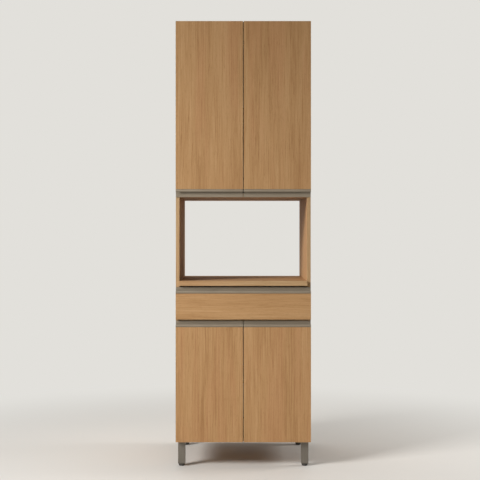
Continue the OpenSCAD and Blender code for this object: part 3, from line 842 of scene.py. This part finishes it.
@dataclass(frozen=True)
class Solid:
    """One solid of a node: its points, and its box."""

    points: tuple[Vector, ...]

    @property
    def low(self) -> Vector:
        """Its lowest corner."""
        return Vector([min(p[k] for p in self.points) for k in range(3)])

    @property
    def high(self) -> Vector:
        """Its highest corner."""
        return Vector([max(p[k] for p in self.points) for k in range(3)])

    @property
    def middle(self) -> Vector:
        """The middle of its box."""
        return (self.low + self.high) / 2

    def tips(self, way: Vector) -> list[Vector]:
        """Its points that lie furthest along a direction."""
        reach = max(p.dot(way) for p in self.points)
        return [p for p in self.points if p.dot(way) > reach - TIP]

    def end(self, way: Vector) -> Vector:
        """The middle of its points that lie furthest along a direction."""
        tips = self.tips(way)
        return sum(tips, Vector()) / len(tips)

    def end_radius(self, way: Vector) -> float:
        """How wide it is at its end along a direction."""
        middle = self.end(way)
        return max((p - middle).length for p in self.tips(way))

    def head(self) -> tuple[Vector, Vector]:
        """Finds the wide end of a fastener.

        Returns:
            The middle of that end, and the direction out of it.
        """
        size = self.high - self.low
        long_axis = Vector([float(size[k] == max(size)) for k in range(3)])
        way = max((long_axis, -long_axis), key=self.end_radius)
        return self.end(way), way


def solids_of(node: str) -> list[Solid]:
    """Splits a node's mesh into its separate solids.

    Args:
        node: The node's name.

    Returns:
        The solids, from left to right, from front to back and from bottom to top.
    """
    bm = bmesh.new()
    bm.from_mesh(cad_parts[node].data)
    bmesh.ops.remove_doubles(bm, verts=bm.verts, dist=WELD)
    bm.verts.ensure_lookup_table()
    seen: set[int] = set()
    found = []
    for start in bm.verts:
        if start.index in seen:
            continue
        seen.add(start.index)
        waiting, points = [start], []
        while waiting:
            vert = waiting.pop()
            points.append(vert.co.copy())
            for edge in vert.link_edges:
                other = edge.other_vert(vert)
                if other.index not in seen:
                    seen.add(other.index)
                    waiting.append(other)
        found.append(Solid(tuple(points)))
    bm.free()
    return sorted(found, key=lambda s: tuple(round(c, PLACE_DIGITS) for c in s.middle))


def show(
    name: str,
    mesh: bpy.types.Mesh,
    finish: Finish,
    body: str,
    stands_for: Sequence[str],
) -> str:
    """Makes a piece of the unit from a mesh.

    Args:
        name: The piece's name.
        mesh: Its mesh, in place.
        finish: Its finish.
        body: The body that it rides on.
        stands_for: The nodes that it replaces.

    Returns:
        The piece's name.
    """
    mesh.materials.clear()
    mesh.materials.append(finish.material())
    for face in mesh.polygons:
        face.use_smooth = True
    mesh.set_sharp_from_angle(angle=SMOOTH_UP_TO)
    made = put(name, mesh)
    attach(made, body)
    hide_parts(*stands_for)
    return name


def carved(node: str, cutter: Sketch, name: str) -> bpy.types.Mesh:
    """Copies a node's mesh with the cutter taken out of it.

    Args:
        node: The node's name.
        cutter: What is cut away.
        name: The name of the new mesh.

    Returns:
        The cut mesh, in place.
    """
    work = put(name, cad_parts[node].data.copy())
    tool = put(name + "_cutter", cutter.mesh(name + "_cutter"))
    weld = work.modifiers.new("weld", "WELD")
    weld.merge_threshold = WELD
    cut = work.modifiers.new("cut", "BOOLEAN")
    cut.object, cut.operation, cut.solver = tool, "DIFFERENCE", "EXACT"
    shaped = work.evaluated_get(bpy.context.evaluated_depsgraph_get())
    result = bpy.data.meshes.new_from_object(shaped)
    result.name = name
    for made in (work, tool):
        bpy.data.objects.remove(made)
    return result


@dataclass(frozen=True)
class CrossRecess:
    """The cross-shaped driver recess in the head of a fastener."""

    reach: float = 1.9 * MM
    half_width: float = 0.38 * MM
    depth: float = 1.3 * MM
    taper: float = 0.62
    cutter_stands: float = 0.2 * MM

    def outline(self) -> list[tuple[float, float]]:
        """The cross as twelve corners.

        Returns:
            The corners in order.
        """
        a, b = self.half_width, self.reach
        arm = [(a, a), (a, b), (-a, b)]
        quarters = ((1, 0), (0, 1), (-1, 0), (0, -1))
        return [(x * c - y * s, x * s + y * c) for c, s in quarters for x, y in arm]

    def cut(self, sketch: Sketch, head: Vector, way: Vector) -> None:
        """Adds the cutter for one head, which looks along way."""
        place = aimed(head, way)
        sketch.prism(self.outline(), -self.depth, self.cutter_stands, self.taper, place)


# ---------- Sub-assemblies ----------


@dataclass
class SubAssembly:
    """A part of the unit that is dressed on its own."""

    title: str
    edge: float = 0.5 * MM

    def dress(self) -> Iterable[str]:
        """Gives the nodes their finishes, adds the detailed pieces, and yields the name of each."""
        raise NotImplementedError

    def coat(self, finish: Finish, *nodes: str, edge: Optional[float] = None) -> Iterable[str]:
        """Gives nodes a finish and softens their edges.

        Args:
            finish: The finish.
            nodes: The nodes' names.
            edge: The width of the softened edges, or 0 to leave them sharp.

        Yields:
            The name of each node.
        """
        width = self.edge if edge is None else edge
        for node in nodes:
            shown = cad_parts[node]
            for slot in shown.material_slots:
                slot.material = finish.material()
            if width > 0:
                weld = shown.modifiers.new("weld", "WELD")
                weld.merge_threshold = WELD
                bevel = shown.modifiers.new("soft_edges", "BEVEL")
                bevel.width, bevel.segments = width, BEVEL_STEPS
                bevel.limit_method, bevel.angle_limit = "ANGLE", SOFTENED_FROM
                bevel.use_clamp_overlap = False
            yield node


@dataclass
class Carcass(SubAssembly):
    """Side panels, boards between them, rails, shelves, back panels and their bands."""

    cross_boards: tuple[str, ...] = (
        "bottom_panel",
        "divider_rail_front",
        "divider_rail_rear",
        "niche_floor_panel",
        "niche_ceiling_panel",
        "top_panel",
        "lower_shelf",
        "upper_shelf",
    )

    def dress(self) -> Iterable[str]:
        """Coats each board by the way that its broad faces look.

        Yields:
            The name of each piece.
        """
        yield from self.coat(Finishes.SIDE_BOARD, "side_panel_left", "side_panel_right", edge=0.3 * MM)
        yield from self.coat(Finishes.CROSS_BOARD, *self.cross_boards, edge=0.3 * MM)
        yield from self.coat(Finishes.LEVEL_FRONT, "top_front_rail")
        yield from self.coat(Finishes.LEVEL_FRONT, "wall_fixing_rail", edge=0)
        yield from self.coat(Finishes.BACK_BOARD, "back_panel_lower", "back_panel_upper", edge=0)
        yield from self.coat(Finishes.CARCASS_BAND, "carcass_edge_bands", edge=0.25 * MM)


@dataclass
class BoardFittings(SubAssembly):
    """What joins the boards and carries the shelves: cams, bolts, dowels, pins and bumpers."""

    recess: CrossRecess = CrossRecess(reach=2.9 * MM, half_width=0.6 * MM, depth=2.2 * MM)
    dome_sides: int = 24
    dome_foot: float = 0.35
    dome_angles: tuple[float, ...] = (0, 0.4, 0.8, 1.2)

    def dress(self) -> Iterable[str]:
        """Cuts the driver recesses into the cams, and rounds the bumpers.

        Yields:
            The name of each piece.
        """
        yield from self.coat(Finishes.ZINC, "cam_bolts", edge=0)
        yield from self.coat(Finishes.BEECH, "wood_dowels", edge=0.4 * MM)
        yield from self.coat(Finishes.NICKEL, "shelf_pins", edge=0.6 * MM)
        yield self.cams()
        yield self.bumpers()

    def cams(self) -> str:
        """Makes the cam discs with a cross recess on the side that shows.

        Returns:
            The piece's name.
        """
        cutter = Sketch()
        down = Vector((0, 0, -1))
        for disc in solids_of("cam_discs"):
            self.recess.cut(cutter, disc.end(down), down)
        name = "cam_discs_recessed"
        mesh = carved("cam_discs", cutter, name)
        return show(name, mesh, Finishes.ZINC, "carcass", ["cam_discs"])

    def bumpers(self) -> str:
        """Makes soft domes on the front edges of the carcass.

        Returns:
            The piece's name.
        """
        sketch = Sketch()
        for bumper in solids_of("door_bumpers"):
            radius = (bumper.high.x - bumper.low.x) / 2
            height = bumper.high.y - bumper.low.y
            foot = Vector((bumper.middle.x, bumper.high.y, bumper.middle.z))
            rings = [centre(0), ring(radius, 0, self.dome_sides)]
            for angle in self.dome_angles:
                rise = self.dome_foot + (1 - self.dome_foot) * math.sin(angle)
                rings.append(ring(radius * math.cos(angle), height * rise, self.dome_sides))
            sketch.turn([*rings, centre(height)], aimed(foot, Vector((0, -1, 0))))
        name = "soft_bumpers"
        mesh = sketch.mesh(name)
        return show(name, mesh, Finishes.SOFT, "carcass", ["door_bumpers"])


@dataclass
class Legs(SubAssembly):
    """Square leg tubes on screwed plates, with levelling feet."""

    pitch: float = 1.5 * MM
    thread_depth: float = 0.75 * MM
    thread_sides: int = 20
    rings_per_turn: int = 4
    tip: float = 1.5 * MM
    tip_slope: float = 1.4 * MM
    sunk: float = 2 * MM
    flutes: int = 24
    flute_steps: int = 4
    flute_depth: float = 0.35 * MM
    # The pad's section: how far in from its radius, and how far from its underside or its top.
    pad_foot: Ring = ((3.2 * MM, 0), (1.2 * MM, 1.0 * MM), (0.2 * MM, 2.4 * MM))
    fluted: tuple[float, float] = (3.2 * MM, 1.6 * MM)
    pad_rim: Ring = ((1.0 * MM, 0.4 * MM), (2.4 * MM, 0))

    def dress(self) -> Iterable[str]:
        """Coats the legs, cuts the screw recesses and turns the feet.

        Yields:
            The name of each piece.
        """
        yield from self.coat(Finishes.LEG, "leg_tubes", edge=1.0 * MM)
        yield from self.coat(Finishes.LEG, "leg_plates", edge=0.5 * MM)
        yield from self.coat(Finishes.BLACK, "leg_inserts", edge=0.5 * MM)
        yield recessed_screws("leg_screws", "leg_plate_screws", "carcass")
        for corner in ("front_left", "front_right", "rear_left", "rear_right"):
            yield from self.foot(f"foot_{corner}")

    def foot(self, node: str) -> Iterable[str]:
        """Builds one levelling foot: a fluted pad, and a threaded stem in it.

        Args:
            node: The node that both stand for.

        Yields:
            The names of the pad and of the stem.
        """
        foot = solids_of(node)[0]
        axis = Vector((foot.middle.x, foot.middle.y, 0))
        top = foot.high.z
        radius = (foot.high.x - foot.low.x) / 2
        out = [(math.hypot(p.x - axis.x, p.y - axis.y), p.z) for p in foot.points]
        stem_radius = max(away for away, height in out if height > top - WELD)
        pad_top = max(height for away, height in out if away > radius - MM)
        pad, stem = Sketch(), Sketch()
        pad.turn(self.pad_rings(radius, pad_top), Matrix.Translation(axis))
        stem.turn(self.stem_rings(stem_radius, pad_top - self.sunk, top), Matrix.Translation(axis))
        name = f"{node}_pad"
        yield show(name, pad.mesh(name), Finishes.BLACK, node, [node])
        name = f"{node}_stem"
        yield show(name, stem.mesh(name), Finishes.ZINC, node, [node])

    def pad_rings(self, radius: float, top: float) -> list[Ring]:
        """The pad from its underside to its top, with flutes to grip.

        Args:
            radius: Its radius.
            top: Its height.

        Returns:
            Its rings.
        """
        sides = self.flutes * self.flute_steps
        turns = [math.tau * k / self.flute_steps for k in range(sides)]
        edge = [radius - self.flute_depth * (1 - math.cos(turn)) / 2 for turn in turns]
        up, down = self.fluted
        return [
            centre(0),
            *rings_of(sides, *((radius - inset, rise) for inset, rise in self.pad_foot)),
            *([(out, height) for out in edge] for height in (up, top - down)),
            *rings_of(sides, *((radius - inset, top - drop) for inset, drop in self.pad_rim)),
            centre(top),
        ]

    def stem_rings(self, radius: float, low: float, high: float) -> list[Ring]:
        """The stem with a thread that climbs once per pitch.

        Args:
            radius: The radius over the thread.
            low: Where it starts, inside the pad.
            high: Where it ends.

        Returns:
            Its rings.
        """
        steps = round((high - low - self.tip) / self.pitch * self.rings_per_turn)
        rings: list[Ring] = [centre(low)]
        for step in range(steps + 1):
            height = low + step * self.pitch / self.rings_per_turn
            phases = [height / self.pitch - k / self.thread_sides for k in range(self.thread_sides)]
            deep = [self.thread_depth * abs(2 * (phase % 1) - 1) for phase in phases]
            rings.append([(radius - depth, height) for depth in deep])
        return [*rings, ring(radius - self.tip_slope, high, self.thread_sides), centre(high)]


def recessed_screws(node: str, name: str, body: str) -> str:
    """Replaces a node of screws by the same screws with driver recesses.

    Args:
        node: The node of screws.
        name: The name of the new piece.
        body: The body that the screws ride on.

    Returns:
        The piece's name.
    """
    cutter = Sketch()
    for screw in solids_of(node):
        CrossRecess().cut(cutter, *screw.head())
    return show(name, carved(node, cutter, name), Finishes.ZINC, body, [node])


@dataclass
class Hinges(SubAssembly):
    """Hinge plates and arms on the side panels."""

    clamp_recess: CrossRecess = CrossRecess(reach=2.2 * MM, half_width=0.45 * MM)

    def dress(self) -> Iterable[str]:
        """Coats the plates, and cuts the recesses of the screws and of the clamps.

        Yields:
            The name of each piece.
        """
        yield from self.coat(Finishes.NICKEL, "hinge_plates", edge=0.6 * MM)
        yield recessed_screws("hinge_plate_screws", "hinge_fixing_screws", "carcass")
        cutter = Sketch()
        for arm in solids_of("hinge_arms"):
            inward = Vector((-math.copysign(1, arm.middle.x), 0, 0))
            self.clamp_recess.cut(cutter, arm.end(inward), inward)
        name = "hinge_arms_pressed"
        mesh = carved("hinge_arms", cutter, name)
        yield show(name, mesh, Finishes.NICKEL, "carcass", ["hinge_arms"])


@dataclass
class HandledFront(SubAssembly):
    """What a door and the drawer front share: a board, its bands and a handle profile."""

    stem: str = ""
    board: Finish = Finishes.UPRIGHT_FRONT
    bands: Finish = Finishes.FRONT_BAND

    def dress_front(self) -> Iterable[str]:
        """Coats the board and its bands."""
        yield from self.coat(self.board, f"{self.stem}_board", edge=0)
        yield from self.coat(self.bands, f"{self.stem}_edging", edge=0.35 * MM)


@dataclass
class Door(HandledFront):
    """One door with its handle profile and its two hinge cups."""

    sides: int = 64
    wall: float = 1.2 * MM
    rim: float = 0.5 * MM
    soft: float = 0.3 * MM
    floor_flat_to: float = 2 * MM
    floor_round: float = 3 * MM
    lip_from: float = 0.7 * MM
    # The lip's section: how far out from the hollow, and how high against the flange.
    lip: Ring = ((0.3 * MM, -0.15 * MM), (0.8 * MM, 0))
    wing_half: float = 9 * MM
    wing_shift: float = 4 * MM
    cup_from: float = 20 * MM
    screw_rise: float = 0.45 * MM
    # The section of a screw's head: shares of its radius and of its rise.
    dome: Ring = ((0.72, 0.75), (0.95, 0.2), (1, 0))
    head_edge: float = 0.2 * MM
    point_length: float = 2 * MM
    point_share: float = 0.3
    point_flat: float = 0.1 * MM

    def dress(self) -> Iterable[str]:
        """Coats the door and builds its cups.

        Yields:
            The name of each piece.
        """
        yield from self.dress_front()
        yield from self.coat(Finishes.PROFILE, f"{self.stem}_handle", edge=0.3 * MM)
        yield from self.cups()

    def cups(self) -> Iterable[str]:
        """Builds the pressed hinge cups, with recesses in their screws.

        Yields:
            The names of the cups and of their screws.
        """
        node = f"{self.stem}_cups"
        cups, screws = Sketch(), Sketch()
        for solid in solids_of(node):
            width = solid.high.x - solid.low.x
            if width > self.cup_from:
                cups.turn(*self.cup_rings(solid))
            else:
                length = solid.high.y - solid.low.y
                screws.turn(self.screw_rings(width / 2, length), aimed(*solid.head()))
        name = f"{self.stem}_hinge_cups"
        yield show(name, cups.mesh(name), Finishes.NICKEL, self.stem, [node])
        name = f"{self.stem}_cup_screws"
        yield show(name, screws.mesh(name), Finishes.ZINC, self.stem, [node])

    def cup_rings(self, cup: Solid) -> tuple[list[Ring], Matrix]:
        """The rings of a cup with its flange, and its placement.

        Args:
            cup: The plain cup.

        Returns:
            The rings from the floor of the cup to its underside, and where its axis lies.
        """
        deep = [p for p in cup.points if p.y < cup.low.y + WELD]
        left, right = min(p.x for p in deep), max(p.x for p in deep)
        outer = (right - left) / 2
        middle = Vector(((left + right) / 2, cup.high.y, cup.middle.z))
        depth = cup.high.y - cup.low.y
        edge = self.flange_reach(outer + self.rim, (cup.high.z - cup.low.z) / 2, -middle.x)
        hollow, floor = outer - self.wall, self.wall - depth
        inside = (
            (hollow - self.floor_flat_to, floor),
            (hollow, self.floor_round - depth),
            (hollow, -self.lip_from),
        )
        mouth = [(hollow + out, height) for out, height in self.lip]
        outside = ((outer, -self.wall), (outer, floor), (outer - self.wall, -depth))
        rings = [
            centre(floor),
            *rings_of(self.sides, *inside, *mouth),
            [(out - self.soft, 0) for out in edge],
            [(out, -self.soft) for out in edge],
            [(out, -self.wall) for out in edge],
            *rings_of(self.sides, *outside),
            centre(-depth),
        ]
        basis = Matrix(((1, 0, 0), (0, 0, 1), (0, 1, 0))).to_4x4()
        return rings, Matrix.Translation(middle) @ basis

    def flange_reach(self, rim: float, wing: float, inward: float) -> list[float]:
        """How far the flange reaches at each angle around the cup.

        Args:
            rim: The radius of the rim around the mouth.
            wing: Half the height of the two wings that take the screws.
            inward: A number with the sign of the way to the middle of the door.

        Returns:
            The reach at each of the cup's angles.
        """
        shift = math.copysign(self.wing_shift, inward)

        def covers(x: float, z: float) -> bool:
            """Whether the flange covers a point beside the cup's axis."""
            past_straight = max(abs(z) - (wing - self.wing_half), 0)
            return math.hypot(x, z) < rim or math.hypot(x - shift, past_straight) < self.wing_half

        found = []
        for k in range(self.sides):
            angle = math.tau * k / self.sides
            low, high = 0.0, wing * SEARCH_PAST
            for _ in range(HALVINGS):
                trial = (low + high) / 2
                if covers(trial * math.cos(angle), trial * math.sin(angle)):
                    low = trial
                else:
                    high = trial
            found.append(low)
        return found

    def screw_rings(self, radius: float, length: float) -> list[Ring]:
        """A raised countersunk screw with a cross recess, from its recess to its tip.

        Args:
            radius: The radius of its head.
            length: Its length below the door's face.

        Returns:
            Its rings.
        """
        cross = CrossRecess()

        def mouth(height: float, share: float) -> Ring:
            """A ring in the shape of the cross.

            Args:
                height: Its height.
                share: Its width, as a share of the cross.

            Returns:
                The ring.
            """
            made = []
            for k in range(self.sides):
                angle = math.tau * k / self.sides
                c, s = max(abs(math.cos(angle)), TINY), max(abs(math.sin(angle)), TINY)
                long_way = min(cross.reach / c, cross.half_width / s)
                cross_way = min(cross.half_width / c, cross.reach / s)
                made.append((share * max(long_way, cross_way), height))
            return made

        shank, rise, rim = radius / 2, self.screw_rise, -self.head_edge
        dome = [(radius * out, rise * height) for out, height in self.dome]
        neck = ((radius, rim), (shank, rim - radius + shank))
        tip = (shank * self.point_share, self.point_flat - length)
        point = ((shank, self.point_length - length), tip)
        return [
            centre(rise - cross.depth),
            mouth(rise - cross.depth, cross.taper),
            mouth(rise, 1),
            *rings_of(self.sides, *dome, *neck, *point),
            centre(-length),
        ]


@dataclass
class Drawer(HandledFront):
    """The drawer front and the box behind it."""

    def dress(self) -> Iterable[str]:
        """Coats the front and the box, and cuts the screw recesses.

        Yields:
            The name of each piece.
        """
        yield from self.dress_front()
        yield from self.coat(Finishes.PROFILE, "drawer_handle", edge=0.3 * MM)
        box = ("drawer_box_front", "drawer_sides", "drawer_back")
        yield from self.coat(Finishes.WHITE_BOARD, *box, edge=0.4 * MM)
        yield from self.coat(Finishes.WHITE_BOARD, "drawer_bottom", edge=0)
        yield recessed_screws("drawer_screws", "drawer_box_screws", "drawer")


@dataclass
class Runners(SubAssembly):
    """Both ball-bearing runners of the drawer, with three members each."""

    members: tuple[str, ...] = (
        "runner_cabinet_members",
        "runner_middle_left",
        "runner_middle_right",
        "runner_drawer_members",
    )

    def dress(self) -> Iterable[str]:
        """Coats the members and cuts the screw recesses."""
        yield from self.coat(Finishes.ZINC, *self.members, edge=0.4 * MM)
        yield recessed_screws("runner_screws", "runner_fixing_screws", "carcass")


# ---------- Studio ----------


@dataclass(frozen=True)
class Lamp:
    """A soft square lamp."""

    name: str
    at: tuple[float, float, float]
    to: tuple[float, float, float]
    width: float
    power: float
    spread: float = 180.0

    def build(self) -> None:
        """Adds the lamp to the scene."""
        data = bpy.data.lights.new(self.name, "AREA")
        data.shape, data.size, data.energy = "SQUARE", self.width, self.power
        data.spread = math.radians(self.spread)
        at, to = Vector(self.at), Vector(self.to)
        turned = (to - at).to_track_quat("-Z", "Y").to_matrix().to_4x4()
        put(self.name, data).matrix_world = Matrix.Translation(at) @ turned


def shown_rays(graph: Graph) -> Signal:
    """1 for the rays that show the background: from the camera, by reflection or through glass.

    Args:
        graph: The nodes of the floor or of the world.

    Returns:
        The mask.
    """
    path = graph.node("ShaderNodeLightPath")
    names = ("Is Camera Ray", "Is Glossy Ray", "Is Transmission Ray")
    camera, glossy, through = (Signal(graph, path.outputs[name]) for name in names)
    return graph.math("MAXIMUM", graph.math("MAXIMUM", camera, glossy), through)


@dataclass(frozen=True)
class StudioFloor(Finish):
    """A matt pale floor that fades into the background with distance, and is clear from below."""

    near: RGBA = screen_colour(207, 203, 197)
    roughness: float = 0.85
    fade_from: float = 0.5
    fade_to: float = 2.4

    def paint(self, graph: Graph) -> None:
        """Adds the matt floor, the background, and the masks between them.

        Args:
            graph: The material's nodes.
        """
        place = graph.place()
        across, along = graph.component(place, Axis.X), graph.component(place, Axis.Y)
        away = graph.math("SQRT", across * across + along * along, 0.0)
        faded = away.between(self.fade_from, self.fade_to) * shown_rays(graph)
        inputs = {"Base Color": self.near, "Roughness": self.roughness}
        matt = graph.node("ShaderNodeBsdfPrincipled", inputs=inputs)
        glow = graph.node("ShaderNodeEmission", inputs={"Color": BACKGROUND, "Strength": 1.0})
        clear = graph.node("ShaderNodeBsdfTransparent")
        below = graph.node("ShaderNodeNewGeometry").outputs["Backfacing"]
        above = graph.blended(faded, matt, glow)
        whole = graph.blended(below, above, clear)
        graph.node("ShaderNodeOutputMaterial", inputs={"Surface": whole.outputs[0]})


@dataclass
class Studio:
    """A pale floor, soft light from the front left, and the camera at the photograph's view."""

    camera_at: tuple[float, float, float] = (-0.0474, -5.118, 1.0386)
    lens: float = 81.72
    sensor: float = 36.0
    shift_x: float = 0.01537
    shift_y: float = -0.01458
    floor_half: float = 30.0
    fill: float = 0.27
    lamps: tuple[Lamp, ...] = (
        Lamp("key_light", at=(-3.2, -2.7, 2.6), to=(0, -0.29, 0.35), width=1.6, power=43.5, spread=74),
        Lamp("side_light", at=(3.0, 0.45, 2.1), to=(0.3, 0.2, 1.0), width=1.2, power=46),
        Lamp("rear_light", at=(-1.6, 3.2, 1.3), to=(0.2, 0.2, 1.0), width=1.6, power=11),
        Lamp("top_light", at=(0, 0.5, 4.2), to=(0, 0.1, 2.0), width=1.4, power=24, spread=120),
    )

    def build(self) -> None:
        """Sets up the camera, the floor, the world and the lamps."""
        self.make_camera()
        self.make_floor()
        self.make_world()
        for lamp in self.lamps:
            lamp.build()
        bpy.context.scene.view_settings.view_transform = "Standard"

    def make_camera(self) -> None:
        """Adds the camera, square to the front of the unit."""
        data = bpy.data.cameras.new("photo_view")
        data.lens, data.sensor_width = self.lens, self.sensor
        data.shift_x, data.shift_y = self.shift_x, self.shift_y
        camera = put("photo_view", data)
        camera.location = self.camera_at
        camera.rotation_euler = (math.pi / 2, 0, 0)
        bpy.context.scene.camera = camera

    def make_floor(self) -> None:
        """Adds a wide floor under the unit."""
        half = self.floor_half
        mesh = bpy.data.meshes.new("studio_floor")
        corners = [(-half, -half, 0), (half, -half, 0), (half, half, 0), (-half, half, 0)]
        mesh.from_pydata(corners, [], [(0, 1, 2, 3)])
        mesh.materials.append(StudioFloor("studio_floor").material())
        put("studio_floor", mesh)

    def make_world(self) -> None:
        """Adds a pale background and a weak even light."""
        world = bpy.data.worlds.new("studio_world")
        world.use_nodes = True
        bpy.context.scene.world = world
        graph = Graph(world.node_tree)
        strength = self.fill + shown_rays(graph) * (1 - self.fill)
        inputs = {"Color": BACKGROUND, "Strength": strength}
        light = graph.node("ShaderNodeBackground", inputs=inputs)
        graph.node("ShaderNodeOutputWorld", inputs={"Surface": light.outputs[0]})


def main() -> None:
    """Builds the studio and dresses each sub-assembly in turn."""
    logging.basicConfig(level=logging.INFO, format="%(name)s: %(message)s")
    Studio().build()
    places = ("upper_left", "upper_right", "lower_left", "lower_right")
    doors = [Door(f"{place} door", stem=f"{place}_door") for place in places]
    parts: list[SubAssembly] = [
        Carcass("carcass"),
        BoardFittings("board fittings"),
        Legs("legs"),
        Hinges("hinges"),
        *doors,
        Drawer("drawer", stem="drawer_front", board=Finishes.LEVEL_FRONT, bands=Finishes.DRAWER_BAND),
        Runners("runners"),
    ]
    for part in parts:
        for piece in part.dress():
            log.info("%s: %s", part.title, piece)


if __name__ == "__main__":
    main()
